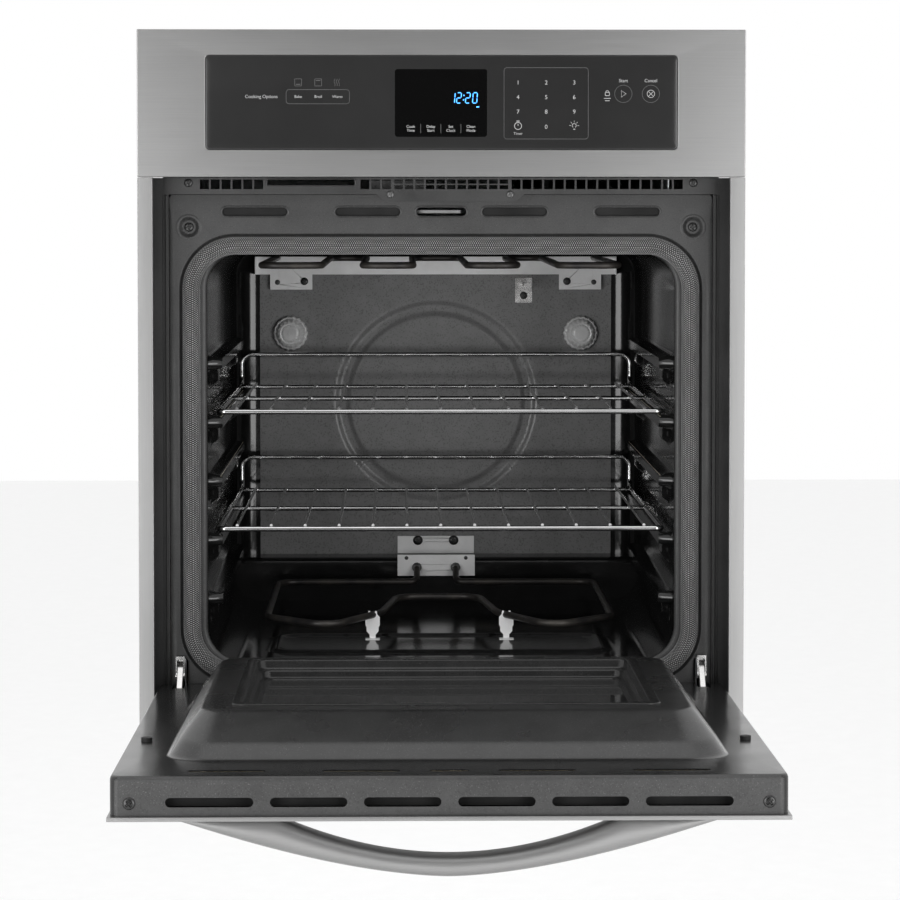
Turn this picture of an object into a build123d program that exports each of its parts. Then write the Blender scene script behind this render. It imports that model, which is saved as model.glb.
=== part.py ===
"""Built-in 24 inch electric wall oven, its drop-down door resting open on the hinge stops.

Millimetres. +X is to the right seen from the room, +Y goes into the cabinet, +Z is up.
Y = 0 is the cabinet face and Z = 0 is the shelf, so the origin is the middle of the shelf's front edge.
"""

from build123d import *
import os

# ---- overall sizes
WIDTH = 603.0
HEIGHT = 727.0
FRONT = -44.0  # front plane of the control panel and the trims
SHEET = 1.2
THIN = 1.0

# ---- casing
CASE_HALF = 280.0
CASE_TOP = 705.0
CASE_BACK = 576.0

# ---- control panel
PANEL_BOTTOM = 581.0
PANEL_HALF = WIDTH / 2
TOUCH_HALF = 234.0
TOUCH_Z = (608.0, 701.6)
TOUCH_Y = (-44.4, -40.4)

# ---- trims
TRIM_FACE = 15.0
TRIM_FLANGE_IN = 282.0
TRIM_SCREW_X = 288.0
TRIM_SCREW_Z = (95.0, 490.0)
TRIM_SCREW_R = 2.3
BOTTOM_TRIM_TOP = 26.0

# ---- front frame
FRAME_HALF = 273.5
FRAME_Z = (30.0, 564.0)
FRAME_SLOT_Z = (542.0, 551.0)
FRAME_SLOTS = ((41.0, 107.0), (154.5, 220.5))
LATCH_SLOT_HALF = 25.5
DIMPLE = (254.0, 531.0)
DIMPLE_R = 10.0
DIMPLE_DEPTH = 5.0

# ---- oven cavity
CAVITY_HALF = 236.0
CAVITY_Z = (92.0, 505.0)
CAVITY_BACK = 480.0
MOUTH_R = 35.0
BACK_R = 30.0
LEDGE_FRONT = 440.0
LEDGE_TOP = 142.0
RIB_IN = 14.0
RIB_HEIGHT = 12.0
RIB_Y = (24.0, 446.0)
RACK_LEVELS = (159.4, 219.4, 279.4, 339.4, 399.4)
RING_Z = 322.0
RING_R = (101.5, 116.5)
RING_DEPTH = 3.0
LINER_FLANGE = 10.0
SEAT_GROW = 33.0
SEAT_DEPTH = 8.0
INSULATION = ((-256.0, 256.0), (3.0, 505.0), (68.0, 530.0))

# ---- gasket
GASKET_HALF = 260.5
GASKET_Z = (72.0, 521.0)
GASKET_BAND = 17.6
GASKET_DEPTH = 8.0
GASKET_R = 53.0

# ---- lamps, elements and sensor
LAMP_X = 170.0
LAMP_Z = 402.0
LENS_R = 20.4
SOCKET_R = 17.0
TUBE_R = 3.6
BROIL_Z = 490.8
BROIL_X = (185.0, 122.5, 80.0, 28.0)
BROIL_Y = (72.0, 452.0)
BROIL_BEND = 18.0
BRACKET_Y = 472.8
BRACKET_Z = (471.0, 492.0)
BRACKET_HALF = 211.0
BAKE_Z = 118.0
BAKE_LEG_X = 22.5
BAKE_LEG_Z = 131.0
BAKE_HALF = 182.0
BAKE_BACK = 410.0
BAKE_BENDS = [10, 9, 22, 30, 22, 60, 26]
UPPER_PLATE_Z = (142.4, 163.0)
LOWER_PLATE_Z = (121.0, 145.5)
PLATE_HALF = 45.0
FOOT_HALF = 7.5
FOOT_X = 71.0
FOOT_Y = 144.0
SENSOR_X = 103.2
SENSOR_Z = 460.0
TERMINAL_BACK = 500.0
SCREW_R = 2.0
HEAD_R = 4.4
HEAD_HEIGHT = 2.2

# ---- door, drawn shut and then turned open about its hinge
HINGE_Y = -15.0
HINGE_Z = 64.0
OPEN_ANGLE = 89.0
SKIN_HALF = 285.5
SKIN_Y = -45.5
SKIN_Z = (52.0, 577.0)
LINER_HALF = 283.5
LINER_CORNER = 8.0
LINER_Y = -8.5
LINER_Z = (54.0, 572.0)
HEM_BACK = -41.8
PLUG_RISE = 33.0
WINDOW_HALF = 172.0
WINDOW_Z = (137.0, 387.0)
OUTER_WINDOW_HALF = 190.0
OUTER_WINDOW_Z = (150.0, 400.0)
GLASS = 4.0
LIP_SLOTS = ((7.0, 71.6), (85.3, 149.8), (163.5, 237.0))
DOOR_SLOT_Z = (543.0, 551.0)
DOOR_LATCH_HALF = 17.0
BUMPER = (267.5, 396.5)
BUMPER_END = -5.3
BUMPER_R = 5.0
LIP_SCREW = (267.0, -31.0)
LIP_SLOT_Y = -30.4
INNER_GLASS_Y = 3.5
HANDLE_Z = 545.0
HANDLE_HEIGHT = 24.0
HANDLE_HALF = 238.0
HANDLE_REACH = 52.5
HANDLE_INNER_HALF = 146.0
HANDLE_GAP = 33.0
HANDLE_SHAPE = 1.65
HANDLE_STEPS = 8
HANDLE_SCREW_X = 200.0

# ---- hinges
ARM_X = (261.0, 266.0)
EYE_R = 8.0
PIN_R = 3.0
RUNNING = 0.05
TAIL = 12.0
TAIL_R = 4.5
ROD_X = 266.5
ROD_Y = -22.0
ROD_R = 2.5
COLLAR_R = 7.0
ROD_GAP = 4.0
SPRING_TOP = 228.0
CHANNEL_X = (256.5, 276.5)
CHANNEL_Z = (56.0, 262.0)
LOCK_Y = -5.5
LOCK_Z = 78.0
LOCK_PIN_R = 2.0

# ---- latch
LATCH_Z = (545.0, 548.0)
LATCH_PIVOT = (-38.0, 14.0)
LATCH_ELBOW = (-2.0, -8.0)
LATCH_TIP = (10.0, -15.5)
LATCH_BAR = 6.0
LATCH_TURN = 24.0

# ---- racks
RACK_HALF = 229.0
RACK_Y = (34.0, 455.0)
RAIL_R = 2.8
CROSS_R = 2.5
WIRE_R = 1.5
RACK_WIRES = 13
RACK_WIRE_SPAN = 416.0
RACK_RISE = 36.0
RACK_BEND = 12.0
RACK_CORNER = 6.0
RACK_CROSS_Y = (230.0, 429.0)
WIRE_SINK = 0.8

# ---- cooling fan
FAN = (150.0, 400.0)
SCROLL_R = 80.0
SCROLL_Z = (556.0, 610.0)
IMPELLER_R = 60.0
IMPELLER_Z = (562.0, 602.0)
BLADES = 14
CUTOUT = (-120.0, 300.0, 530.0)

BOX_X = (-260.0, -150.0)
BOX_Z = (600.0, 690.0)
BOX_BACK = 606.0
CONDUIT_R = 11.1

RISING = (Align.CENTER, Align.CENTER, Align.MIN)
HINGE_AXIS = Axis((0, HINGE_Y, HINGE_Z), (1, 0, 0))


# ---- helpers
def block(x, y, z):
    """A box between the given low and high values on each axis."""
    centre = [(low + high) / 2 for low, high in (x, y, z)]
    size = [high - low for low, high in (x, y, z)]
    return Pos(*centre) * Box(*size)


def slab(sketch, near, far):
    """A sketch drawn in X and Z, thickened from depth `near` to depth `far`."""
    facing = Plane(origin=(0, far, 0), x_dir=(1, 0, 0), z_dir=(0, -1, 0))
    return extrude(facing * sketch, far - near)


def side_slab(sketch, low, high):
    """A sketch drawn in Y and Z, thickened from X = `low` to X = `high`."""
    facing = Plane(origin=(low, 0, 0), x_dir=(0, 1, 0), z_dir=(1, 0, 0))
    return extrude(facing * sketch, high - low)


def window(half, z, radius):
    """A rounded rectangle in X and Z, centred on X = 0."""
    return Pos(0, (z[0] + z[1]) / 2) * RectangleRounded(2 * half, z[1] - z[0], radius)


def slot(x, z):
    """An obround slot in X and Z."""
    return Pos((x[0] + x[1]) / 2, (z[0] + z[1]) / 2) * SlotOverall(x[1] - x[0], z[1] - z[0])


def rod(start, end, radius):
    """A round bar from one point to another."""
    along = Vector(*end) - Vector(*start)
    return Plane(origin=start, z_dir=along) * Cylinder(radius, along.length, align=RISING)


def tube(path, radius):
    """A round bar bent along a path."""
    return sweep(Plane(origin=path @ 0, z_dir=path % 0) * Circle(radius), path=path)


def capsule(start, end, width):
    """A round-ended bar in X and Y."""
    along = Vector(*end) - Vector(*start)
    middle = (Vector(*start) + Vector(*end)) / 2
    angle = Vector(1, 0).get_signed_angle(along, Vector(0, 0, 1))
    return Pos(middle.X, middle.Y) * SlotCenterToCenter(along.length, width, rotation=angle)


def mirrored(shape):
    """The same shape on the other side of the oven."""
    return mirror(shape, about=Plane.YZ)


def both(shape):
    """The shape and its mirror image."""
    return [shape, mirrored(shape)]


def pair(low, high):
    """The two X ranges that lie `low` to `high` either side of the middle."""
    return [(low, high), (-high, -low)]


def opened(shape):
    """Turns a piece drawn on the shut door to where it lies with the door open."""
    return shape.rotate(HINGE_AXIS, OPEN_ANGLE)


def screw(x, face, z, shank):
    """A pan-head screw driven straight back into a face at depth `face`."""
    head = rod((x, face - HEAD_HEIGHT, z), (x, face, z), HEAD_R)
    return head + rod((x, face, z), (x, face + shank, z), SCREW_R)


def drill(shape, spots, radius=SCREW_R):
    """Cuts holes straight back through a shape at each (x, z)."""
    for x, z in spots:
        shape -= rod((x, FRONT, z), (x, CASE_BACK, z), radius)
    return shape


def save(name, *solids):
    """Writes one named piece, made of one or more separate solids."""
    flat = [s for shape in solids for s in shape.solids()]
    export_step(Compound(children=flat) if len(flat) > 1 else flat[0], f"parts/{name}.step")


# ---- outer casing
def make_casing():
    """The galvanised box that slides into the cabinet."""
    base = block((-CASE_HALF + SHEET, CASE_HALF - SHEET), (-2, CASE_BACK - THIN), (0, THIN))
    save("base_pan", base)
    wall = block((CASE_HALF - THIN, CASE_HALF), (1.4, CASE_BACK - THIN), (THIN, CASE_TOP - THIN))
    wall += block((FRAME_HALF + 0.5, CASE_HALF), (0.2, 1.4), (THIN, PANEL_BOTTOM))
    save("casing_right", wall)
    save("casing_left", mirrored(wall))
    top = block((-CASE_HALF, CASE_HALF), (1.4, CASE_BACK), (CASE_TOP - THIN, CASE_TOP))
    save("casing_top", top)
    back = block((-CASE_HALF, CASE_HALF), (CASE_BACK - THIN, CASE_BACK), (THIN, CASE_TOP - THIN))
    for x in range(-40, 241, 20):
        back -= slab(Pos(x, 640) * SlotOverall(60, 6, rotation=90), CASE_BACK - 2, CASE_BACK + 1)
    back = drill(back, [conduit_centre()], CONDUIT_R)
    save("casing_back", back)


def conduit_centre():
    """Where the supply conduit enters, as X and Z."""
    return ((BOX_X[0] + BOX_X[1]) / 2, (BOX_Z[0] + BOX_Z[1]) / 2)


def make_junction_box():
    """The sheet steel box on the back where the supply is joined."""
    outer = block(BOX_X, (CASE_BACK, BOX_BACK), BOX_Z)
    inside = block(
        (BOX_X[0] + SHEET, BOX_X[1] - SHEET),
        (CASE_BACK, BOX_BACK - SHEET),
        (BOX_Z[0] + SHEET, BOX_Z[1] - SHEET),
    )
    x, z = conduit_centre()
    outer -= inside
    save("junction_box", outer - rod((x, CASE_BACK, z), (x, BOX_BACK + 1, z), CONDUIT_R))


# ---- control panel
def make_control_panel():
    """The stainless fascia, its touch glass, and the electronics behind."""
    half = PANEL_HALF
    fascia = block((-half, half), (FRONT, 0), (PANEL_BOTTOM, HEIGHT))
    inner_half = half - SHEET
    inner_z = (PANEL_BOTTOM + SHEET, HEIGHT - SHEET)
    fascia -= block((-inner_half, inner_half), (FRONT + SHEET, 0), inner_z)
    fascia += block((-half, half), (-SHEET, 0), (CASE_TOP, HEIGHT))
    fascia -= slab(window(TOUCH_HALF, TOUCH_Z, 4), FRONT - 1, FRONT + 2)
    save("control_fascia", fascia)

    save("control_glass", slab(window(TOUCH_HALF, TOUCH_Z, 4), *TOUCH_Y))

    board = block((-150, 150), (-36, -34.4), (622, 690))
    display = block((-47, 45), (TOUCH_Y[1] + 0.2, -36), (624, 688))
    relays = [block((x, x + 18), (-34.4, -20), (634, 662)) for x in range(-120, 121, 40)]
    save("control_board", board + display + relays)

    shell = block((-245, 245), (-41.4, -8), (600, 712))
    shell -= block((-243.5, 243.5), (-42, -9.5), (601.5, 710.5))
    save("control_cover", shell)


# ---- trims and grille
def make_trims():
    """The stainless side trims, the bottom trim and the punched vent strip."""
    edge = PANEL_HALF
    face = edge - TRIM_FACE
    high = PANEL_BOTTOM - 0.5
    trim = block((face, edge), (FRONT, FRONT + SHEET), (0, high))
    trim += block((edge - SHEET, edge), (FRONT, 0), (0, high))
    trim += block((TRIM_FLANGE_IN, edge), (-SHEET, 0), (0, high))
    trim += block((face, face + SHEET), (FRONT, FRONT + 9), (0, high))
    for z in TRIM_SCREW_Z:
        trim -= rod((TRIM_SCREW_X, -5, z), (TRIM_SCREW_X, 1, z), TRIM_SCREW_R)
    save("side_trim_right", trim)
    save("side_trim_left", mirrored(trim))

    half = face - 0.2
    top = BOTTOM_TRIM_TOP
    bottom = block((-half, half), (FRONT, FRONT + SHEET), (0, top))
    bottom += block((-half, half), (FRONT, -SHEET), (top - SHEET, top))
    riser = TRIM_FLANGE_IN - 0.2
    bottom += block((-riser, riser), (-SHEET, 0), (top - SHEET, 48))
    for x in range(-240, 241, 60):
        bottom -= slab(slot((x - 22, x + 22), (33, 39)), -3, 1)
    save("bottom_trim", bottom)

    strip = slab(Pos(0, 572.4) * Rectangle(558, 16.8), -1.4, -0.2)
    tab = Polygon((-57, 557), (76, 557), (84, 564.2), (-65, 564.2), align=None)
    strip += slab(tab, -1.4, -0.2)
    for start, count in ((-242.5, 6), (-81.3, 3), (70.8, 16)):
        for i in range(count):
            x = start + 10.9 * i
            strip -= slab(Pos(x + 4.5, 574) * Rectangle(9, 9.6), -3, 1)
    for i in range(11):
        for z in (571.3, 576.8):
            strip -= slab(Pos(-43 + 10.6 * i, z) * Rectangle(8.6, 4.2), -3, 1)
    strip -= slab(Pos(-131, 576) * Rectangle(88, 6), -3, 1)
    save("vent_grille", drill(strip, GRILLE_SCREWS))


GRILLE_SCREWS = ((-254, 575.5), (254, 575.5), (-51, 564), (69.5, 564))


# ---- front frame, cavity and insulation
def make_front_frame():
    """The enamelled frame around the oven mouth."""
    frame = slab(window(FRAME_HALF, FRAME_Z, 4), 0, SHEET)
    frame -= slab(mouth(0), -1, 2)
    for low, high in FRAME_SLOTS:
        for x in pair(low, high):
            frame -= slab(slot(x, FRAME_SLOT_Z), -1, 2)
    frame -= slab(slot((-LATCH_SLOT_HALF, LATCH_SLOT_HALF), FRAME_SLOT_Z), -1, 2)
    for x in pair(255.5, 267.0):
        frame -= slab(slot_upright(x, (52.0, 96.0)), -1, 2)
    for x in (-DIMPLE[0], DIMPLE[0]):
        frame -= rod((x, -1, DIMPLE[1]), (x, 2, DIMPLE[1]), DIMPLE_R)
        cup = rod((x, 0, DIMPLE[1]), (x, DIMPLE_DEPTH, DIMPLE[1]), DIMPLE_R + THIN)
        cup -= rod((x, -1, DIMPLE[1]), (x, DIMPLE_DEPTH - SHEET, DIMPLE[1]), DIMPLE_R)
        frame += cup
    save("front_frame", drill(frame, [DIMPLE, (-DIMPLE[0], DIMPLE[1])]))


def slot_upright(x, z):
    """An upright obround slot in X and Z."""
    centre = Pos((x[0] + x[1]) / 2, (z[0] + z[1]) / 2)
    return centre * SlotOverall(z[1] - z[0], x[1] - x[0], rotation=90)


def mouth(grow):
    """The outline of the oven mouth in X and Z, grown outwards by `grow`."""
    z = (CAVITY_Z[0] - grow, CAVITY_Z[1] + grow)
    return window(CAVITY_HALF + grow, z, MOUTH_R + grow)


def cavity_room(grow):
    """The space inside the oven, grown outwards by `grow`."""
    room = slab(mouth(grow), SHEET, CAVITY_BACK + grow)
    back_edges = room.faces().sort_by(Axis.Y)[-1].edges()
    room = fillet(back_edges, BACK_R)
    ledge = block((-300, 300), (LEDGE_FRONT + grow, 600), (0, LEDGE_TOP - grow))
    ledge = fillet(ledge.edges().filter_by(Axis.X).group_by(Axis.Z)[-1].sort_by(Axis.Y)[0], 8)
    room -= ledge
    bottom = CAVITY_BACK + RING_DEPTH + grow
    ring = rod((0, CAVITY_BACK - 1, RING_Z), (0, bottom, RING_Z), RING_R[1] + grow)
    ring -= rod((0, 0, RING_Z), (0, CASE_BACK, RING_Z), RING_R[0] - grow)
    room += ring
    for level in RACK_LEVELS:
        height = RIB_HEIGHT - 2 * grow
        length = RIB_Y[1] - RIB_Y[0] - 2 * grow
        centre = Pos(sum(RIB_Y) / 2, level - RIB_HEIGHT / 2)
        rib = side_slab(centre * SlotOverall(length, height), CAVITY_HALF - RIB_IN + grow, 300)
        room -= rib + mirrored(rib)
    return room


def wall_holes():
    """What passes through the cavity's back: lamps, element legs, sensor and screws."""
    holes = []
    for x in (-LAMP_X, LAMP_X):
        holes.append(rod((x, 470, LAMP_Z), (x, 560, LAMP_Z), SOCKET_R + 0.6))
    for x in (-BROIL_X[0], BROIL_X[0]):
        holes.append(rod((x, 470, BROIL_Z), (x, 560, BROIL_Z), TUBE_R + 0.6))
    for x in (-BAKE_LEG_X, BAKE_LEG_X):
        holes.append(rod((x, 430, BAKE_LEG_Z), (x, 560, BAKE_LEG_Z), TUBE_R + 0.6))
    holes.append(rod((SENSOR_X, 470, SENSOR_Z), (SENSOR_X, 560, SENSOR_Z), 3.6))
    for x, z in BACK_SCREWS:
        holes.append(rod((x, 470, z), (x, 490, z), SCREW_R))
    return holes


BRACKET_SCREWS = ((-153.7, 463), (153.7, 463))
PLATE_SCREWS = ((-21, 158), (21, 158))
SENSOR_SCREW = (SENSOR_X, 446.2)
BACK_SCREWS = (*BRACKET_SCREWS, *PLATE_SCREWS, SENSOR_SCREW)


def make_cavity():
    """The enamelled oven liner with its pressed rack guides, and the blanket round it."""
    room = cavity_room(0)
    liner = cavity_room(SHEET) - room
    flange = slab(mouth(LINER_FLANGE), SHEET, 2 * SHEET)
    liner += flange - slab(mouth(0), 0, 4)
    holes = wall_holes()
    save("cavity_liner", liner - holes)

    blanket = block(*INSULATION) - cavity_room(2.0)
    blanket -= slab(mouth(SEAT_GROW), 0, SEAT_DEPTH)
    for x in (-DIMPLE[0], DIMPLE[0]):
        blanket -= rod((x, 0, DIMPLE[1]), (x, 3 * DIMPLE_DEPTH, DIMPLE[1]), DIMPLE_R + 2)
    save("insulation", blanket - holes)


def make_gasket():
    """The woven door seal that runs round the mouth."""
    ring = slab(window(GASKET_HALF, GASKET_Z, GASKET_R), -GASKET_DEPTH, 0)
    inner_z = (GASKET_Z[0] + GASKET_BAND, GASKET_Z[1] - GASKET_BAND)
    inner = window(GASKET_HALF - GASKET_BAND, inner_z, GASKET_R - GASKET_BAND)
    ring -= slab(inner, -GASKET_DEPTH - 1, 1)
    save("door_gasket", ring)


# ---- inside the oven
def make_broil_element():
    """The serpentine grill tube under the roof, its terminals at the back."""
    near, far = BROIL_Y
    points = [(-BROIL_X[0], TERMINAL_BACK)]
    columns = [-x for x in BROIL_X] + list(reversed(BROIL_X))
    for i, x in enumerate(columns):
        ends = (far, near) if i % 2 == 0 else (near, far)
        points += [(x, end) for end in ends]
    points[1:2] = []
    points[-1] = (BROIL_X[0], TERMINAL_BACK)
    path = FilletPolyline(*[(x, y, BROIL_Z) for x, y in points], radius=BROIL_BEND)
    save("broil_element", tube(path, TUBE_R))

    back = BRACKET_Y + SHEET
    bracket = block((-BRACKET_HALF, BRACKET_HALF), (BRACKET_Y, back), BRACKET_Z)
    for x in pair(144.4, 193.9):
        bracket += block(x, (BRACKET_Y, back), (BRACKET_Z[0] - 17.7, BRACKET_Z[0] + 1))
    for x in pair(BRACKET_HALF - SHEET, BRACKET_HALF):
        bracket += block(x, (back - 14, back), BRACKET_Z)
    bracket = drill(bracket, [(-BROIL_X[0], BROIL_Z), (BROIL_X[0], BROIL_Z)], TUBE_R)
    bracket = drill(bracket, [(-185.2, 462), (185.2, 462)], 3)
    save("broil_bracket", drill(bracket, BRACKET_SCREWS))


def make_bake_element():
    """The bow-shaped lower heating tube, its plates and its two feet."""
    right = [
        (BAKE_LEG_X, TERMINAL_BACK, BAKE_LEG_Z),
        (BAKE_LEG_X, 432, BAKE_LEG_Z),
        (BAKE_LEG_X, BAKE_BACK, BAKE_Z),
        (BAKE_HALF, BAKE_BACK, BAKE_Z),
        (BAKE_HALF, 130, BAKE_Z),
        (115, 66, BAKE_Z),
        (62, 160, BAKE_Z),
        (45, 286, BAKE_Z),
    ]
    left = [(-x, y, z) for x, y, z in reversed(right)]
    path = FilletPolyline(*right, *left, radius=BAKE_BENDS + BAKE_BENDS[::-1])
    save("bake_element", tube(path, TUBE_R))

    across = (-PLATE_HALF, PLATE_HALF)
    upper = block(across, (CAVITY_BACK - SHEET, CAVITY_BACK), UPPER_PLATE_Z)
    lower = block(across, (LEDGE_FRONT - SHEET, LEDGE_FRONT), LOWER_PLATE_Z)
    lower = drill(lower, [(-BAKE_LEG_X, BAKE_LEG_Z), (BAKE_LEG_X, BAKE_LEG_Z)], TUBE_R)
    save("bake_terminal_plates", drill(upper, PLATE_SCREWS), lower)

    across = (FOOT_X - FOOT_HALF, FOOT_X + FOOT_HALF)
    floor = CAVITY_Z[0]
    foot = block(across, (FOOT_Y, FOOT_Y + SHEET), (floor, BAKE_Z - TUBE_R))
    foot += block(across, (FOOT_Y - 8, FOOT_Y + SHEET), (floor, floor + SHEET))
    save("bake_feet", *both(foot))


def make_sensor_and_lamps():
    """The temperature probe, and the two lamps behind their glass covers."""
    wall = CAVITY_BACK
    tab = block((SENSOR_X - 9.9, SENSOR_X + 9.9), (wall - SHEET, wall), (437.8, 467))
    tab = drill(tab, [SENSOR_SCREW])
    save("temp_sensor", tab + rod((SENSOR_X, 402, SENSOR_Z), (SENSOR_X, 495, SENSOR_Z), 3))

    lens = rod((LAMP_X, wall - 16, LAMP_Z), (LAMP_X, wall, LAMP_Z), LENS_R)
    lens = fillet(lens.edges().group_by(Axis.Y)[0], 6)
    lens -= rod((LAMP_X, wall - 13, LAMP_Z), (LAMP_X, wall + 1, LAMP_Z), SOCKET_R)
    save("lamp_lenses", *both(lens))

    bulb = rod((LAMP_X, wall - 8, LAMP_Z), (LAMP_X, wall + 20, LAMP_Z), 5)
    save("lamp_bulbs", *both(fillet(bulb.edges().group_by(Axis.Y)[0], 4)))
    socket = rod((LAMP_X, wall + 1.5, LAMP_Z), (LAMP_X, wall + 55, LAMP_Z), SOCKET_R)
    socket -= rod((LAMP_X, wall, LAMP_Z), (LAMP_X, wall + 20, LAMP_Z), 5)
    save("lamp_sockets", *both(socket))


def make_screws():
    """The visible screws of the frame, the grille and the back wall."""
    screws = [screw(x, -1.4, z, 1.2) for x, z in GRILLE_SCREWS]
    cup = DIMPLE_DEPTH - SHEET
    screws += [screw(x, cup, DIMPLE[1], 8) for x in (-DIMPLE[0], DIMPLE[0])]
    screws += [screw(x, BRACKET_Y, z, 13) for x, z in BRACKET_SCREWS]
    screws += [screw(x, CAVITY_BACK - SHEET, z, 8) for x, z in (*PLATE_SCREWS, SENSOR_SCREW)]
    save("body_screws", *screws)


# ---- racks
def make_rack(name, level):
    """A chromed wire rack: a flat grid on a perimeter rail, and the raised loop at its back."""
    side = RACK_HALF - RAIL_R
    z = level + 0.3 + RAIL_R
    near, far = RACK_Y
    joint = far - RACK_BEND
    corner = FilletPolyline((0, near, z), (side, near, z), (side, joint, z), radius=RACK_CORNER)
    right = tube(corner, RAIL_R)
    grid = right + mirrored(right)
    for y in RACK_CROSS_Y:
        grid += rod((-side, y, z), (side, y, z), CROSS_R)
    wire_z = z + RAIL_R + WIRE_R - WIRE_SINK
    for i in range(RACK_WIRES):
        x = RACK_WIRE_SPAN * (i / (RACK_WIRES - 1) - 0.5)
        grid += rod((x, near, wire_z), (x, RACK_CROSS_Y[-1] + 2, wire_z), WIRE_R)

    top = z + RACK_RISE
    loop = [(side, joint, z), (side, far, z), (side, far, top), (-side, far, top)]
    loop += [(-side, far, z), (-side, joint, z)]
    rise = tube(FilletPolyline(*loop, radius=RACK_BEND - 0.1), RAIL_R)
    save(name, grid, rise)


# ---- door
def plug(shrink, drop):
    """The pressed panel that fills the oven mouth: a rounded frustum on the liner."""
    foot = window(240 - shrink, (97 + shrink, 500 - shrink), 36 - shrink)
    crown = window(217 - shrink, (101 + shrink, 431 - shrink), 22 - shrink)
    base = Plane(origin=(0, LINER_Y - drop, 0), x_dir=(1, 0, 0), z_dir=(0, -1, 0))
    top = Plane(origin=(0, LINER_Y + PLUG_RISE - drop, 0), x_dir=(1, 0, 0), z_dir=(0, -1, 0))
    return loft([base * foot, top * crown])


def make_door_liner():
    """The enamelled inner door pan with its plug, vent slots and hinge notches."""
    z = LINER_Z
    pan = block((-LINER_HALF, LINER_HALF), (HEM_BACK, LINER_Y), z)
    upright = pan.edges().filter_by(Axis.Y)
    pan = fillet(upright, LINER_CORNER) + plug(0, 0)
    inside = LINER_HALF - THIN
    depth = (HEM_BACK - 1, LINER_Y - THIN)
    inner = block((-inside, inside), depth, (z[0] + THIN, z[1] - THIN))
    inner = fillet(inner.edges().filter_by(Axis.Y), LINER_CORNER - THIN) + plug(THIN, THIN)
    pan -= inner
    pan -= slab(window(190, (120, 405), 10), LINER_Y + 2, 40)
    for low, high in FRAME_SLOTS:
        for x in pair(low, high):
            pan -= slab(slot(x, DOOR_SLOT_Z), LINER_Y - 2, LINER_Y + 1)
    pan -= slab(slot((-DOOR_LATCH_HALF, DOOR_LATCH_HALF), DOOR_SLOT_Z), LINER_Y - 2, LINER_Y + 1)
    for low, high in LIP_SLOTS:
        for x in pair(low, high):
            middle = Pos(sum(x) / 2, LIP_SLOT_Y)
            pan -= Pos(0, 0, z[1] - 3) * extrude(middle * SlotOverall(high - low, 8), 5)
    for x in pair(257, 270):
        pan -= block(x, (-25, LINER_Y + 1), (50, 92))
    for x in (-BUMPER[0], BUMPER[0]):
        pan -= rod((x, -14, BUMPER[1]), (x, 0, BUMPER[1]), 2)
    lip_x, lip_y = LIP_SCREW
    for x in (-lip_x, lip_x):
        pan -= rod((x, lip_y, z[1] - 3), (x, lip_y, z[1] + 1), SCREW_R)
    save("door_liner", opened(pan))


def make_window_frame():
    """The stepped steel frame that clamps the inner glass into the plug."""
    top = LINER_Y + PLUG_RISE
    low = LINER_Y + 16
    frame = slab(window(190, (120, 405), 10), top - THIN, top)
    frame -= slab(window(180, (129, 395), 8), top - 2, top + 1)
    wall = slab(window(180, (129, 395), 8), low, top)
    wall -= slab(window(180 - THIN, (129 + THIN, 395 - THIN), 7), low - 1, top + 1)
    seat = slab(window(180, (129, 395), 8), low, low + THIN)
    seat -= slab(window(WINDOW_HALF, WINDOW_Z, 8), low - 1, low + 2)
    save("window_frame", opened(frame + wall + seat))


def make_door_glass():
    """Three panes: outer in the skin, middle in the blanket, inner under its frame."""
    outer = slab(window(OUTER_WINDOW_HALF + 15, (135, 415), 6), SKIN_Y + SHEET, SKIN_Y + SHEET + GLASS)
    save("door_outer_glass", opened(outer))
    save("door_middle_glass", opened(slab(window(189, (121, 404), 4), -24, -20)))
    inner = slab(window(178, (131, 393), 4), INNER_GLASS_Y, INNER_GLASS_Y + GLASS)
    save("door_inner_glass", opened(inner))
    blanket = block((-250, 250), (-39, LINER_Y - 2), (62, 538))
    blanket -= slab(window(189, (121, 404), 4), -45, 10)
    save("door_insulation", opened(blanket))


def make_door_skin():
    """The stainless front sheet with its folded hem."""
    half = SKIN_HALF
    z = SKIN_Z
    skin = block((-half, half), (SKIN_Y, HEM_BACK), z)
    hem = 6.5
    skin -= block((-half + hem, half - hem), (SKIN_Y + SHEET, HEM_BACK + 1), (z[0] + hem, z[1] - hem))
    skin -= slab(window(OUTER_WINDOW_HALF, OUTER_WINDOW_Z, 6), SKIN_Y - 1, SKIN_Y + 3)
    for x in (-HANDLE_SCREW_X, HANDLE_SCREW_X):
        skin -= rod((x, SKIN_Y - 1, HANDLE_Z), (x, SKIN_Y + 3, HANDLE_Z), 2.5)
    save("door_skin", opened(skin))


def handle_drop(t):
    """How far the bow stands out, as a share of its reach, from the middle (0) to an end (1)."""
    return 1 - abs(t) ** HANDLE_SHAPE


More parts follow.
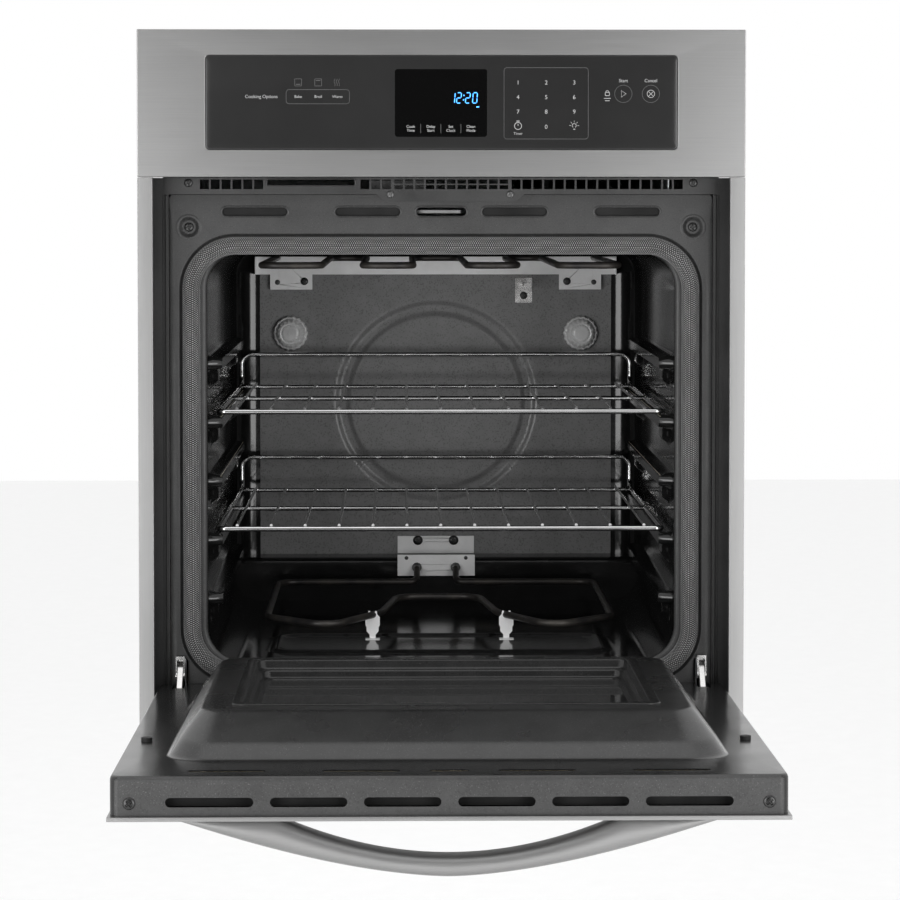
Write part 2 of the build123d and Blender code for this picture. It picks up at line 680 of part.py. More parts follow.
def make_handle():
    """The bowed stainless bar and the two screws that hold it from inside the skin."""
    gap = SKIN_Y - HANDLE_GAP
    stations = [i / HANDLE_STEPS for i in range(-HANDLE_STEPS, HANDLE_STEPS + 1)]
    outer = Spline(*[(HANDLE_HALF * t, SKIN_Y - HANDLE_REACH * handle_drop(t)) for t in stations])
    inner = ThreePointArc((HANDLE_INNER_HALF, SKIN_Y), (0, gap), (-HANDLE_INNER_HALF, SKIN_Y))
    pads = [
        Line((HANDLE_HALF, SKIN_Y), (HANDLE_INNER_HALF, SKIN_Y)),
        Line((-HANDLE_INNER_HALF, SKIN_Y), (-HANDLE_HALF, SKIN_Y)),
    ]
    outline = make_face(Curve() + [outer, pads[0], inner, pads[1]])
    bar = Pos(0, 0, HANDLE_Z - HANDLE_HEIGHT / 2) * extrude(outline, HANDLE_HEIGHT)
    bar = fillet(bar.edges().group_by(SortBy.LENGTH)[-1], 5)
    screws = []
    for x in (-HANDLE_SCREW_X, HANDLE_SCREW_X):
        shank = rod((x, SKIN_Y + SHEET, HANDLE_Z), (x, SKIN_Y - 12, HANDLE_Z), 2.5)
        bar -= shank
        screws.append(shank + rod((x, SKIN_Y + SHEET, HANDLE_Z), (x, SKIN_Y + 4, HANDLE_Z), 4.5))
    save("handle", opened(bar))
    save("handle_screws", *[opened(s) for s in screws])


def make_door_trifles():
    """Rubber bumpers and the lip screws."""
    x, z = BUMPER
    bumper = rod((x, LINER_Y, z), (x, BUMPER_END, z), BUMPER_R) + rod((x, -13, z), (x, LINER_Y, z), 2)
    save("door_bumpers", *[opened(s) for s in both(bumper)])
    top = LINER_Z[1]
    x, y = LIP_SCREW
    lip = rod((x, y, top), (x, y, top + 1.8), 4) + rod((x, y, top - 10), (x, y, top), SCREW_R)
    save("door_screws", *[opened(s) for s in both(lip)])


# ---- hinges
def arm_outline():
    """The claw plate seen from the side, as Y and Z."""
    claw = Polygon(
        (-15, 56),
        (3, 56),
        (3, 51.8),
        (12, 51.8),
        (16, 56),
        (55, 60),
        (55, 88),
        (45, 93),
        (0, 93),
        (-20.5, 69.8),
        align=None,
    )
    eye = Pos(HINGE_Y, HINGE_Z) * Circle(EYE_R)
    tail = Pos(HINGE_Y - TAIL / 2, HINGE_Z) * SlotCenterToCenter(TAIL, 2 * TAIL_R)
    return claw + eye + tail


def make_hinge_frame_side():
    """The receivers behind the frame, the claw arms in them, and the flip locks."""
    receiver = block((258, 269.5), (SHEET, 62), (50, 98))
    receiver -= block((259.5, 268), (0, 60.5), (51.5, 96.5))
    save("hinge_receivers", *both(receiver))

    arm = side_slab(arm_outline(), *ARM_X)
    arm -= rod((250, HINGE_Y, HINGE_Z), (280, HINGE_Y, HINGE_Z), PIN_R + RUNNING)
    arm -= rod((250, LOCK_Y, LOCK_Z), (280, LOCK_Y, LOCK_Z), LOCK_PIN_R + RUNNING)
    save("hinge_arm_right", arm)
    save("hinge_arm_left", mirrored(arm))

    cheek = Pos(LOCK_Y, LOCK_Z) * Circle(4) + Pos(-5, 88) * Rectangle(6, 20)
    lock = side_slab(cheek, 259, 260.4) + side_slab(cheek, 266.6, 268)
    lock += block((259, 268), (-8, -2), (94.5, 98))
    lock += rod((259, LOCK_Y, LOCK_Z), (268, LOCK_Y, LOCK_Z), LOCK_PIN_R)
    save("hinge_lock_right", lock)
    save("hinge_lock_left", mirrored(lock))


def make_hinge_door_side():
    """The channels in the door with their pins, and the sprung rods that balance it."""
    low, high = CHANNEL_X
    channel = block(CHANNEL_X, (-41, -9.7), CHANNEL_Z)
    channel -= block((low + 1.5, high - 1.5), (-39.5, 0), (0, 300))
    stop = block((low + 1, high - 1), (-40, -10.5), (SPRING_TOP, SPRING_TOP + 2))
    stop -= rod((ROD_X, ROD_Y, 200), (ROD_X, ROD_Y, 260), ROD_R + 0.5)
    channel += stop
    pin = rod((low, HINGE_Y, HINGE_Z), (high, HINGE_Y, HINGE_Z), PIN_R)
    channel -= pin
    save("hinge_channels", *[opened(s) for s in both(channel)])
    save("hinge_pins", *[opened(s) for s in both(pin)])

    foot = HINGE_Z + TAIL + TAIL_R + ROD_GAP
    collar = foot + 12
    link = rod((ROD_X, ROD_Y, foot), (ROD_X, ROD_Y, 268), ROD_R)
    link += rod((ROD_X, ROD_Y, collar), (ROD_X, ROD_Y, collar + 3), COLLAR_R)
    save("hinge_rod_right", opened(link))
    save("hinge_rod_left", opened(mirrored(link)))

    low_end = collar + 3 + 1.0
    coil = Pos(ROD_X, ROD_Y, low_end + 0.3) * Helix(8.0, SPRING_TOP - low_end - 1.6, 5.4)
    spring = tube(coil, 1.0)
    save("hinge_spring_right", opened(spring))
    save("hinge_spring_left", opened(mirrored(spring)))


# ---- latch
def make_latch():
    """The door lock: a plate with a post, a swinging hook and its motor."""
    x, y = LATCH_PIVOT
    plate = block((-75, 60), (2.5, 44), (536, 537.5)) + rod((x, y, 537), (x, y, 552), 3)
    save("latch_plate", plate)
    bar = capsule(LATCH_PIVOT, LATCH_ELBOW, LATCH_BAR) + capsule(LATCH_ELBOW, LATCH_TIP, LATCH_BAR)
    bar += Pos(x, y) * Circle(7)
    hook = Pos(0, 0, LATCH_Z[0]) * extrude(bar, LATCH_Z[1] - LATCH_Z[0])
    hook -= rod((x, y, 530), (x, y, 560), 3 + RUNNING)
    save("latch_hook", hook.rotate(Axis((x, y, 0), (0, 0, 1)), LATCH_TURN))
    motor = block((-72, -16), (16, 60), (553, 578)) + rod((-44, 38, 578), (-44, 38, 596), 16)
    save("latch_motor", motor)


# ---- cooling fan
def scroll(shrink):
    """The outside of the fan housing and its duct, shrunk by `shrink`."""
    x, y = FAN
    z = (SCROLL_Z[0] + shrink, SCROLL_Z[1] - shrink)
    drum = rod((x, y, z[0]), (x, y, z[1]), SCROLL_R - shrink)
    side = SCROLL_R - shrink
    return drum + block((x - side, x + side), (6 - 2 * shrink, y), z)


def make_fan():
    """The blower that cools the controls, above the insulation."""
    x, y = FAN
    housing = scroll(0) - scroll(THIN) - rod((x, y, 600), (x, y, 620), 45)
    save("fan_housing", housing)
    z = IMPELLER_Z
    wheel = rod((x, y, z[0]), (x, y, z[0] + 1.5), IMPELLER_R) + rod((x, y, z[0]), (x, y, z[0] + 20), 9)
    rim = rod((x, y, z[1] - 1.5), (x, y, z[1]), IMPELLER_R) - rod((x, y, 500), (x, y, 620), 46)
    wheel += rim
    for i in range(BLADES):
        blade = Pos(IMPELLER_R - 7, 0, sum(z) / 2) * Rot(0, 0, 35) * Box(13, 1.2, z[1] - z[0] - 1)
        wheel += Pos(x, y) * Rot(0, 0, 360 * i / BLADES) * blade
    wheel -= rod((x, y, 500), (x, y, 650), 3 + RUNNING)
    save("fan_impeller", wheel)
    motor = rod((x, y, 618), (x, y, 656), 32) + rod((x, y, 566), (x, y, 618), 3)
    for dx in (-62, 62):
        near, far = sorted((x, x + dx))
        motor += block((near, far), (y - 6, y + 6), (618, 620))
        foot = sorted((x + dx, x + dx * 0.96))
        motor += block(foot, (y - 6, y + 6), (SCROLL_Z[1], 620))
    save("fan_motor", motor)
    x, y, low = CUTOUT
    cutout = rod((x, y, low), (x, y, low + 12), 9)
    cutout += block((x - 15, x + 15), (y - 6, y + 6), (low, low + 1.5))
    save("thermal_cutout", cutout)


def main():
    """Writes every piece."""
    os.makedirs("parts", exist_ok=True)
    make_casing()
    make_junction_box()
    make_control_panel()
    make_trims()
    make_front_frame()
    make_cavity()
    make_gasket()
    make_broil_element()
    make_bake_element()
    make_sensor_and_lamps()
    make_screws()
    make_rack("upper_rack", RACK_LEVELS[3])
    make_rack("lower_rack", RACK_LEVELS[1])
    make_door_liner()
    make_window_frame()
    make_door_glass()
    make_door_skin()
    make_handle()
    make_door_trifles()
    make_hinge_frame_side()
    make_hinge_door_side()
    make_latch()
    make_fan()


main()
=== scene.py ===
"""Looks of a built-in wall oven with its door resting open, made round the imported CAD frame.

Shapes are drawn in millimetres in the row frame: +X right, +Y into the cabinet, +Z up.
Door pieces are drawn on the shut door and turned open about its hinge.
"""

import math

import bmesh
import bpy
import numpy as np
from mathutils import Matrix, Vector


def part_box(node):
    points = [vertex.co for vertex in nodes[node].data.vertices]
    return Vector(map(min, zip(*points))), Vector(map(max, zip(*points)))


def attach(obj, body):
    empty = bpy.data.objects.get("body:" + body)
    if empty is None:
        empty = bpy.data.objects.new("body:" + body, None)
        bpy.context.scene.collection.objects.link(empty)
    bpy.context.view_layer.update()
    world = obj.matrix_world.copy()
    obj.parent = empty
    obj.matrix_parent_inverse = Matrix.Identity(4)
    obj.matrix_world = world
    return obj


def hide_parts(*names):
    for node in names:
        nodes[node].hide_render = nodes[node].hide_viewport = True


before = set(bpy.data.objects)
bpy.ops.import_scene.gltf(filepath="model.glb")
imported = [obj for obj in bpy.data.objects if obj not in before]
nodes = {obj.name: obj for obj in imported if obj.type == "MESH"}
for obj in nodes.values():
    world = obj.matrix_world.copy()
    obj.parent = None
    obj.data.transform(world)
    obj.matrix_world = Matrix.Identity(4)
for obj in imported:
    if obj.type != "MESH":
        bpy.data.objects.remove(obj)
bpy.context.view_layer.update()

MM = 0.001
HINGE_Y = -15.0
HINGE_Z = 64.0
OPEN = math.radians(89.0)
SHARP = math.radians(32.0)


# ---- materials
class Shade:
    """A material whose node tree is built step by step."""

    def __init__(self, name, **fixed):
        self.material = bpy.data.materials.new(name)
        self.material.use_nodes = True
        self.tree = self.material.node_tree
        self.surface = self.tree.nodes["Principled BSDF"]
        self.set(**fixed)

    def set(self, **values):
        """Sets or links the surface's own inputs, named with _ for a space."""
        for key, value in values.items():
            self.fill(self.surface.inputs[key.replace("_", " ")], value)

    def fill(self, socket, value):
        if isinstance(value, bpy.types.NodeSocket):
            self.tree.links.new(value, socket)
        elif isinstance(value, tuple) and len(value) == 3 and socket.type == "RGBA":
            socket.default_value = (*value, 1.0)
        else:
            socket.default_value = value

    def add(self, kind, out=0, inputs=None, **settings):
        """Adds a node and returns one of its outputs."""
        node = self.tree.nodes.new("ShaderNode" + kind)
        for key, value in settings.items():
            setattr(node, key, value)
        for key, value in (inputs or {}).items():
            self.fill(node.inputs[key], value)
        return node.outputs[out]

    def spot(self, stretch=(1.0, 1.0, 1.0), kind="Object"):
        """Where a point lies on its piece, in metres times `stretch`."""
        return self.add("Mapping", inputs={"Vector": self.add("TexCoord", kind), "Scale": stretch})

    def noise(self, vector, scale, detail=2.0, roughness=0.5, distortion=0.0):
        values = {"Vector": vector, "Scale": scale, "Detail": detail, "Roughness": roughness}
        return self.add("TexNoise", inputs={**values, "Distortion": distortion})

    def cells(self, vector, scale, out="Distance", feature="F1"):
        return self.add("TexVoronoi", out, {"Vector": vector, "Scale": scale}, feature=feature)

    def ramp(self, fac, *stops):
        """A colour ramp from (place, colour) stops."""
        colour = self.add("ValToRGB", inputs={"Fac": fac})
        bar = colour.node.color_ramp
        while len(bar.elements) < len(stops):
            bar.elements.new(0.5)
        for element, (place, tone) in zip(bar.elements, stops):
            element.position = place
            element.color = (*(tone if isinstance(tone, tuple) else (tone,) * 3), 1.0)
        return colour

    def span(self, value, low, high, start=0.3, end=0.7):
        """A value mapped from start..end to low..high."""
        names = ("From Min", "From Max", "To Min", "To Max")
        places = dict(zip(names, (start, end, low, high)))
        return self.add("MapRange", inputs={"Value": value, **places})

    def math(self, operation, a, b=0.5):
        return self.add("Math", inputs={0: a, 1: b}, operation=operation)

    def mix(self, fac, a, b, blend="MIX"):
        return self.add("Mix", 2, {0: fac, 6: a, 7: b}, data_type="RGBA", blend_type=blend)

    def bump(self, height, distance, strength=1.0):
        """Fine relief, `distance` metres deep."""
        inputs = {"Height": height, "Distance": distance, "Strength": strength}
        self.set(Normal=self.add("Bump", inputs=inputs))


def grey(value, warm=0.0):
    return (value * (1 + warm), value, value * (1 - warm))


def brushed(name, stretch, dark=0.295, light=0.335):
    """Stainless steel with a directional grain."""
    s = Shade(name, Metallic=1.0)
    streaks = s.noise(s.spot(stretch), 1.0, 4.0, 0.65)
    hairs = s.noise(s.spot([3.2 * v for v in stretch]), 1.0, 2.0, 0.6)
    cloud = s.noise(s.spot(), 5.0, 2.0)
    grain = s.math("ADD", s.math("MULTIPLY", streaks, 0.6), s.math("MULTIPLY", hairs, 0.4))
    tone = s.ramp(grain, (0.3, grey(dark, 0.003)), (0.7, grey(light, 0.003)))
    shade = s.ramp(cloud, (0.3, 0.94), (0.7, 1.0))
    s.set(Base_Color=s.mix(1.0, tone, shade, "MULTIPLY"), Roughness=s.span(grain, 0.3, 0.38))
    s.bump(grain, 0.00001, 0.12)
    return s.material


def enamel(name, dark, light, fleck, rough, flecks=0.62, coat=0.0):
    """Porcelain enamel on steel: a mottled ground with fine flecks and a slight ripple."""
    s = Shade(name, Coat_Weight=coat, Coat_Roughness=0.06)
    place = s.spot()
    ground = s.ramp(s.noise(place, 60.0, 3.0), (0.3, dark), (0.7, light))
    specks = s.noise(place, 900.0, 2.0, 0.7)
    mask = s.ramp(specks, (flecks, 0.0), (flecks + 0.1, 1.0))
    pits = s.ramp(s.noise(place, 620.0, 1.0), (0.3, 0.62), (0.45, 1.0))
    tone = s.mix(mask, s.mix(1.0, ground, pits, "MULTIPLY"), grey(fleck))
    s.set(Base_Color=tone, Roughness=s.span(s.noise(place, 14.0, 3.0), rough * 0.85, rough * 1.2))
    s.bump(s.math("ADD", s.noise(place, 180.0, 2.0), s.math("MULTIPLY", specks, 0.25)), 0.00006, 0.6)
    return s.material


def sheet_metal(name, dark, light, scale, rough, spangle=True, metallic=1.0):
    """Bare coated sheet steel, with crystal spangle or soft rolling marks."""
    s = Shade(name, Metallic=metallic)
    place = s.spot()
    if spangle:
        grain = s.add("RGBToBW", inputs={0: s.cells(place, scale, "Color")})
    else:
        grain = s.noise(s.spot((scale, scale * 0.2, scale)), 1.0, 4.0)
    smear = s.noise(place, 9.0, 4.0, 0.6)
    tone = s.ramp(s.mix(0.35, grain, smear), (0.25, dark), (0.75, light))
    s.set(Base_Color=tone, Roughness=s.span(smear, rough * 0.8, rough * 1.25))
    s.bump(s.noise(place, 260.0, 3.0), 0.00005, 0.5)
    return s.material


def polished(name, tone, rough, tint=0.0, scale=35.0):
    """Smooth plated or ground metal with faint smears."""
    s = Shade(name, Metallic=1.0)
    smear = s.noise(s.spot(), scale, 4.0, 0.6)
    low = tuple(v * 0.86 for v in grey(tone, tint))
    s.set(Base_Color=s.ramp(smear, (0.3, low), (0.65, grey(tone, tint))))
    s.set(Roughness=s.span(smear, rough * 0.7, rough * 1.4))
    s.bump(s.noise(s.spot(), 420.0, 2.0), 0.00002, 0.4)
    return s.material


def moulded(name, dark, light, rough, scale=900.0, relief=0.00005, **fixed):
    """Moulded, painted or fired stuff with a fine texture."""
    s = Shade(name, **fixed)
    fine = s.noise(s.spot(), scale, 2.0)
    broad = s.noise(s.spot(), 22.0, 3.0)
    s.set(Base_Color=s.ramp(s.mix(0.4, broad, fine), (0.32, dark), (0.68, light)))
    s.set(Roughness=s.span(broad, rough * 0.85, rough * 1.15))
    s.bump(fine, relief, 0.7)
    return s.material


def tube_sheath():
    """The oxidised alloy sheath of a heating element."""
    s = Shade("element_sheath", Metallic=0.55)
    haze = s.noise(s.spot(), 28.0, 4.0, 0.65)
    s.set(Base_Color=s.ramp(haze, (0.3, (0.018, 0.018, 0.02)), (0.7, (0.075, 0.068, 0.06))))
    s.set(Roughness=s.span(haze, 0.34, 0.55))
    s.bump(s.noise(s.spot(), 1500.0, 2.0), 0.00003, 0.6)
    return s.material


def braid():
    """Knitted fibreglass sleeving over its spring core, with painted shade in the gaps between the
    yarns and in the low places of the knit.
    """
    s = Shade("gasket_braid", Roughness=0.85, Sheen_Weight=0.35, Sheen_Roughness=0.5)
    s.surface.inputs["Specular IOR Level"].default_value = 0.25
    place = s.spot(kind="UV")
    crossed = s.add("Mapping", inputs={"Vector": place, "Scale": (1.0, -1.0, 1.0)})
    ways = [{"Vector": way, "Scale": 290.0} for way in (place, crossed)]
    yarn = s.math("MULTIPLY", *(s.add("TexWave", "Fac", w, bands_direction="DIAGONAL") for w in ways))
    height = s.add("Attribute", "Fac", attribute_name="knit")
    dirt = s.noise(s.spot(), 30.0, 4.0, 0.6)
    # near black between the yarns: painted shade in the gaps
    tone = s.ramp(yarn, (0.0, 0.012), (0.25, 0.1), (0.8, 0.46))
    tone = s.mix(1.0, tone, s.ramp(dirt, (0.25, 0.75), (0.7, 1.0)), "MULTIPLY")
    # the knit's low places are darkened by its height: painted shade
    s.set(Base_Color=s.mix(1.0, tone, s.ramp(height, (0.0, 0.3), (0.7, 1.0)), "MULTIPLY"))
    s.bump(yarn, 0.0004, 0.8)
    return s.material


def glass(name, tone, rough, transmission, scale=6.0, **fixed):
    """Glass, clear to nearly opaque, with the faintest film on it."""
    s = Shade(name, Transmission_Weight=transmission, IOR=1.5, **fixed)
    film = s.noise(s.spot(), scale, 4.0, 0.6)
    low = tuple(v * 0.8 for v in tone)
    s.set(Base_Color=s.ramp(film, (0.3, low), (0.7, tone)))
    s.set(Roughness=s.span(film, rough * 0.6, rough * 1.5))
    return s.material


def fibre():
    """Compressed mineral fibre blanket."""
    s = Shade("mineral_fibre", Roughness=0.95, Sheen_Weight=0.3)
    strands = s.noise(s.spot((60.0, 60.0, 400.0)), 1.0, 6.0, 0.7, 1.2)
    s.set(Base_Color=s.ramp(strands, (0.3, (0.38, 0.3, 0.17)), (0.7, (0.72, 0.66, 0.48))))
    s.bump(strands, 0.0012, 0.8)
    return s.material


def board():
    """Solder-masked circuit board with its traces."""
    s = Shade("circuit_board", Roughness=0.35)
    traces = s.add("TexBrick", "Fac", {"Vector": s.spot(), "Scale": 90.0, "Mortar Size": 0.015})
    s.set(Base_Color=s.mix(traces, (0.01, 0.07, 0.03), (0.1, 0.3, 0.12)))
    s.bump(traces, 0.00005, 0.5)
    return s.material


def glow(name, tone, strength):
    """A lit display segment."""
    s = Shade(name, Roughness=0.4, Emission_Strength=strength)
    cloud = s.noise(s.spot(), 300.0, 1.0)
    low = tuple(v * 0.85 for v in tone)
    s.set(Base_Color=tone, Emission_Color=s.ramp(cloud, (0.3, low), (0.7, tone)))
    return s.material


ALONG_X = (9.0, 1500.0, 1500.0)
ALONG_Z = (1500.0, 1500.0, 9.0)
M = {
    "steel_x": brushed("brushed_steel_along", ALONG_X),
    "steel_z": brushed("brushed_steel_upright", ALONG_Z),
    "galvanised": sheet_metal("galvanised_steel", grey(0.36, -0.02), grey(0.56, -0.02), 95.0, 0.38),
    "aluminised": sheet_metal("aluminised_steel", 0.8, 0.95, 60.0, 0.42, False, 0.2),
    "dark_paint": moulded("dark_paint", 0.02, 0.035, 0.42, 500.0),
    "frame": enamel("frame_enamel", 0.028, 0.036, 0.11, 0.42),
    "cavity": enamel("cavity_enamel", 0.006, 0.01, 0.04, 0.1, 0.68),
    # a far lighter copy of the cavity enamel for the back wall: painted light where the lamps face it
    "back": enamel("back_wall_enamel_painted_light", 0.2, 0.23, 0.28, 0.3, 0.68),
    "pan": enamel("door_flange_enamel", 0.012, 0.018, 0.08, 0.2, 0.66),
    "plug": enamel("door_plug_enamel", 0.013, 0.018, 0.08, 0.28, 0.62),
    "chrome": polished("rack_chrome", 0.78, 0.1),
    "bright": polished("bright_zinc_steel", 0.66, 0.22, 0.01),
    "dull": polished("dull_pressed_steel", 0.2, 0.5),
    # near-black stuff standing for the shade inside slots and recesses: painted shade
    "void": moulded("unlit_recess", 0.002, 0.004, 0.8),
    "faint": moulded("panel_print_faint", 0.1, 0.15, 0.5),
    "black_oxide": polished("blackened_screw_steel", 0.07, 0.35),
    "element": tube_sheath(),
    "panel_glass": glass("control_panel_glass", grey(0.024), 0.12, 0.0),
    "display": glass("display_window", grey(0.0015), 0.05, 0.0),
    "door_glass": glass("tinted_window_glass", grey(0.16), 0.025, 0.85),
    "outer_glass": glass("black_door_glass", grey(0.012), 0.03, 0.3),
    "lens": glass("pressed_lamp_glass", grey(0.95), 0.12, 0.3),
    "braid": braid(),
    "fibre": fibre(),
    "rubber": moulded("black_rubber", 0.008, 0.014, 0.6, 700.0),
    "board": board(),
    "plastic": moulded("black_moulded_plastic", 0.016, 0.028, 0.45),
    "ceramic": moulded("fired_ceramic", grey(0.62, 0.03), grey(0.75, 0.03), 0.5, 300.0),
    "print": moulded("panel_print", 0.36, 0.46, 0.5),
    "clock": glow("clock_light", (0.07, 0.36, 1.0), 2.6),
}

LOOKS = {
    "steel_x": ("stainless", "control_fascia bottom_trim door_skin handle"),
    "steel_z": ("stainless", "side_trim_left side_trim_right"),
    "galvanised": (
        "galvanised",
        "base_pan casing_left casing_right casing_top casing_back junction_box "
        "hinge_receivers hinge_channels fan_housing",
    ),
    "aluminised": ("galvanised", "broil_bracket bake_terminal_plates bake_feet"),
    "frame": ("enamel", "front_frame"),
    "cavity": ("enamel", "cavity_liner"),
    "pan": ("enamel", "door_liner window_frame"),
    "dark_paint": ("black_paint", "vent_grille fan_motor latch_motor latch_plate"),
    "bright": (
        "bright_steel",
        "hinge_arm_left hinge_arm_right hinge_lock_left hinge_lock_right hinge_pins hinge_rod_left "
        "hinge_rod_right hinge_spring_left hinge_spring_right body_screws door_screws "
        "handle_screws temp_sensor",
    ),
    "dull": ("bright_steel", "latch_hook"),
    "chrome": ("chrome", "upper_rack lower_rack"),
    "element": ("element", "broil_element bake_element"),
    "panel_glass": ("black_glass", "control_glass"),
    "outer_glass": ("door_glass", "door_outer_glass"),
    "door_glass": ("door_glass", "door_middle_glass door_inner_glass"),
    "lens": ("lens_glass", "lamp_lenses lamp_bulbs"),
    "braid": ("gasket", "door_gasket"),
    "fibre": ("insulation", "insulation door_insulation"),
    "rubber": ("rubber", "door_bumpers"),
    "board": ("circuit", "control_board"),
    "plastic": ("plastic", "control_cover fan_impeller thermal_cutout"),
    "ceramic": ("ceramic", "lamp_sockets"),
}

for look, (slot, names) in LOOKS.items():
    for name in names.split():
        mesh = nodes[name].data
        mesh.materials.clear()
        mesh.materials.append(M[look])
        mesh.polygons.foreach_set("use_smooth", [True] * len(mesh.polygons))


def soften(width, names):
    """Rounds the sharp edges of CAD sheet parts by `width` millimetres, as a modifier."""
    for name in names.split():
        weld = nodes[name].modifiers.new("weld", "WELD")
        weld.merge_threshold = 0.00001
        bevel = nodes[name].modifiers.new("bevel", "BEVEL")
        bevel.width = width * MM
        bevel.segments = 2
        bevel.limit_method = "ANGLE"
        bevel.angle_limit = math.radians(40.0)
        nodes[name].modifiers.new("normals", "WEIGHTED_NORMAL")


soften(0.9, "control_fascia")
soften(0.5, "door_skin")
soften(
    0.35,
    "side_trim_left side_trim_right bottom_trim broil_bracket bake_terminal_plates hinge_receivers",
)
soften(0.4, "hinge_arm_left hinge_arm_right hinge_lock_left hinge_lock_right casing_left casing_right")
soften(0.3, "casing_top casing_back base_pan vent_grille latch_hook latch_plate")
soften(1.0, "junction_box latch_motor")


# ---- mesh building
def opened(points):
    """Turns points drawn on the shut door to where they lie with the door open."""
    p = np.array(points, float).reshape(-1, 3)
    y = p[:, 1] - HINGE_Y
    z = p[:, 2] - HINGE_Z
    c, s = math.cos(OPEN), math.sin(OPEN)
    return np.stack([p[:, 0], HINGE_Y + y * c - z * s, HINGE_Z + y * s + z * c], 1)


def placed(name, data):
    """A new object in the scene."""
    obj = bpy.data.objects.new(name, data)
    bpy.context.scene.collection.objects.link(obj)
    return obj


def meshed(name, points, faces):
    """Mesh data from points in millimetres."""
    points = np.array(points, float).reshape(-1, 3) * MM
    mesh = bpy.data.meshes.new(name)
    mesh.from_pydata([tuple(p) for p in points], [], [tuple(f) for f in faces])
    return mesh


def piece(name, points, faces, look, slot, body="oven_body", stands_for=(), sharp=SHARP):
    """A piece of the look, from points in millimetres, riding on a body."""
    mesh = meshed(name, points, faces)
    obj = placed(name, mesh)
    mesh.materials.append(M[look])
    finish_mesh(mesh, sharp)
    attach(obj, body)
    if stands_for:
        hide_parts(*stands_for)
    return obj


def finish_mesh(mesh, sharp=SHARP):
    mesh.validate()
    mesh.polygons.foreach_set("use_smooth", [True] * len(mesh.polygons))
    mesh.set_sharp_from_angle(angle=sharp)
    mesh.update()


def facing(obj, inside, outwards=True):
    """Turns the mesh's faces away from a point in millimetres, or towards it."""
    mesh = obj.data
    total = 0.0
    middle = Vector(inside) * MM
    for face in mesh.polygons:
        total += face.area * face.normal.dot(face.center - middle)
    if (total > 0) != outwards:
        mesh.flip_normals()
    return obj


def applied(obj):
    """Replaces the mesh by what its modifiers make of it."""
    graph = bpy.context.evaluated_depsgraph_get()
    made = bpy.data.meshes.new_from_object(obj.evaluated_get(graph))
    obj.modifiers.clear()
    obj.data = made
    finish_mesh(made)
    return obj


def thicken(obj, thickness, offset=-1.0):
    solid = obj.modifiers.new("solid", "SOLIDIFY")
    solid.thickness = thickness * MM
    solid.offset = offset
    solid.use_even_offset = True
    return obj


def carve(obj, solids):
    """Cuts closed solids, given as (points, faces), out of a piece."""
    mesh = meshed("cutter", *merged(solids))
    outwards = bmesh.new()
    outwards.from_mesh(mesh)
    bmesh.ops.recalc_face_normals(outwards, faces=outwards.faces)
    outwards.to_mesh(mesh)
    cutter = placed("cutter", mesh)
    cut = obj.modifiers.new("cut", "BOOLEAN")
    cut.object = cutter
    cut.solver = "EXACT"
    cut.use_self = True
    applied(obj)
    bpy.data.objects.remove(cutter)
    return obj


def merged(parts):
    """Several (points, faces) as one."""
    points, faces = [], []
    for some, theirs in parts:
        base = len(points)
        points += [tuple(p) for p in some]
        faces += [[i + base for i in face] for face in theirs]
    return points, faces


def fitting(name, parts, look, slot, **more):
    """One piece made of several (points, faces)."""
    return piece(name, *merged(parts), look, slot, **more)


def arc_loop(half, z, radius, y, steps=10, middle=0.0):
    """A rounded rectangle in X and Z at depth y, with the same number of points each time."""
    left, right = middle - half + radius, middle + half - radius
    low, high = z[0] + radius, z[1] - radius
    loop = []
    for quarter, (x, up) in enumerate(((right, high), (left, high), (left, low), (right, low))):
        for i in range(steps + 1):
            a = (quarter + i / steps) * math.pi / 2
            loop.append((x + radius * math.cos(a), y, up + radius * math.sin(a)))
    return loop


def bridge(loops, cap_first=False, cap_last=False, closed=False):
    """Joins loops of equal length into a skin."""
    count = len(loops[0])
    points = [p for loop in loops for p in loop]
    faces = []
    rows = len(loops) if closed else len(loops) - 1
    for row in range(rows):
        here, there = row * count, (row + 1) % len(loops) * count
        for i in range(count):
            j = (i + 1) % count
            faces.append([here + i, here + j, there + j, there + i])
    if cap_first:
        faces.append(list(range(count))[::-1])
    if cap_last:
        faces.append([(len(loops) - 1) * count + i for i in range(count)])
    return points, faces


def softened(stations, steps=4):
    """Rounds the corners of a profile; each station ends with how far its rounding reaches."""
    done = [np.array(stations[0][:-1], float)]
    for before, here, after in zip(stations, stations[1:], stations[2:]):
        corner = np.array(here[:-1], float)
        ends = []
        for other in (before, after):
            step = np.array(other[:-1], float) - corner
            length = max(1e-6, float(np.abs(step).max()))
            ends.append(corner + step * min(0.48, here[-1] / length))
        if here[-1] == 0:
            done.append(corner)
            continue
        for i in range(steps + 1):
            t = i / steps
            done.append(ends[0] * (1 - t) ** 2 + corner * 2 * t * (1 - t) + ends[1] * t * t)
    done.append(np.array(stations[-1][:-1], float))
    return done


def pressed(stations, steps=10, round_steps=4):
    """Loops of a pressed panel; stations are half width, low z, high z, radius, depth, rounding."""
    return [
        arc_loop(half, (low, high), radius, y, steps)
        for half, low, high, radius, y in softened(stations, round_steps)
    ]


def stadium(u, v, steps=8):
    """An obround outline between two ranges, its ends round on the shorter way."""
    if u[1] - u[0] < v[1] - v[0]:
        return [(b, a) for a, b in stadium(v, u, steps)][::-1]
    r = (v[1] - v[0]) / 2
    middle = (v[0] + v[1]) / 2
    outline = []
    for end, turn in ((u[1] - r, -1), (u[0] + r, 1)):
        for i in range(steps + 1):
            a = math.pi * (turn * 0.5 + i / steps)
            outline.append((end + r * math.cos(a), middle + r * math.sin(a)))
    return outline


def through_y(x, y, z):
    return (x, z, y)


def prism(outline, low, high, lay=through_y):
    """A closed solid from an outline, between two heights; `lay` places (u, v, height)."""
    loops = [[lay(u, v, w) for u, v in outline] for w in (low, high)]
    return bridge(loops, cap_first=True, cap_last=True)


def as_drawn(x, y, z):
    return (x, y, z)


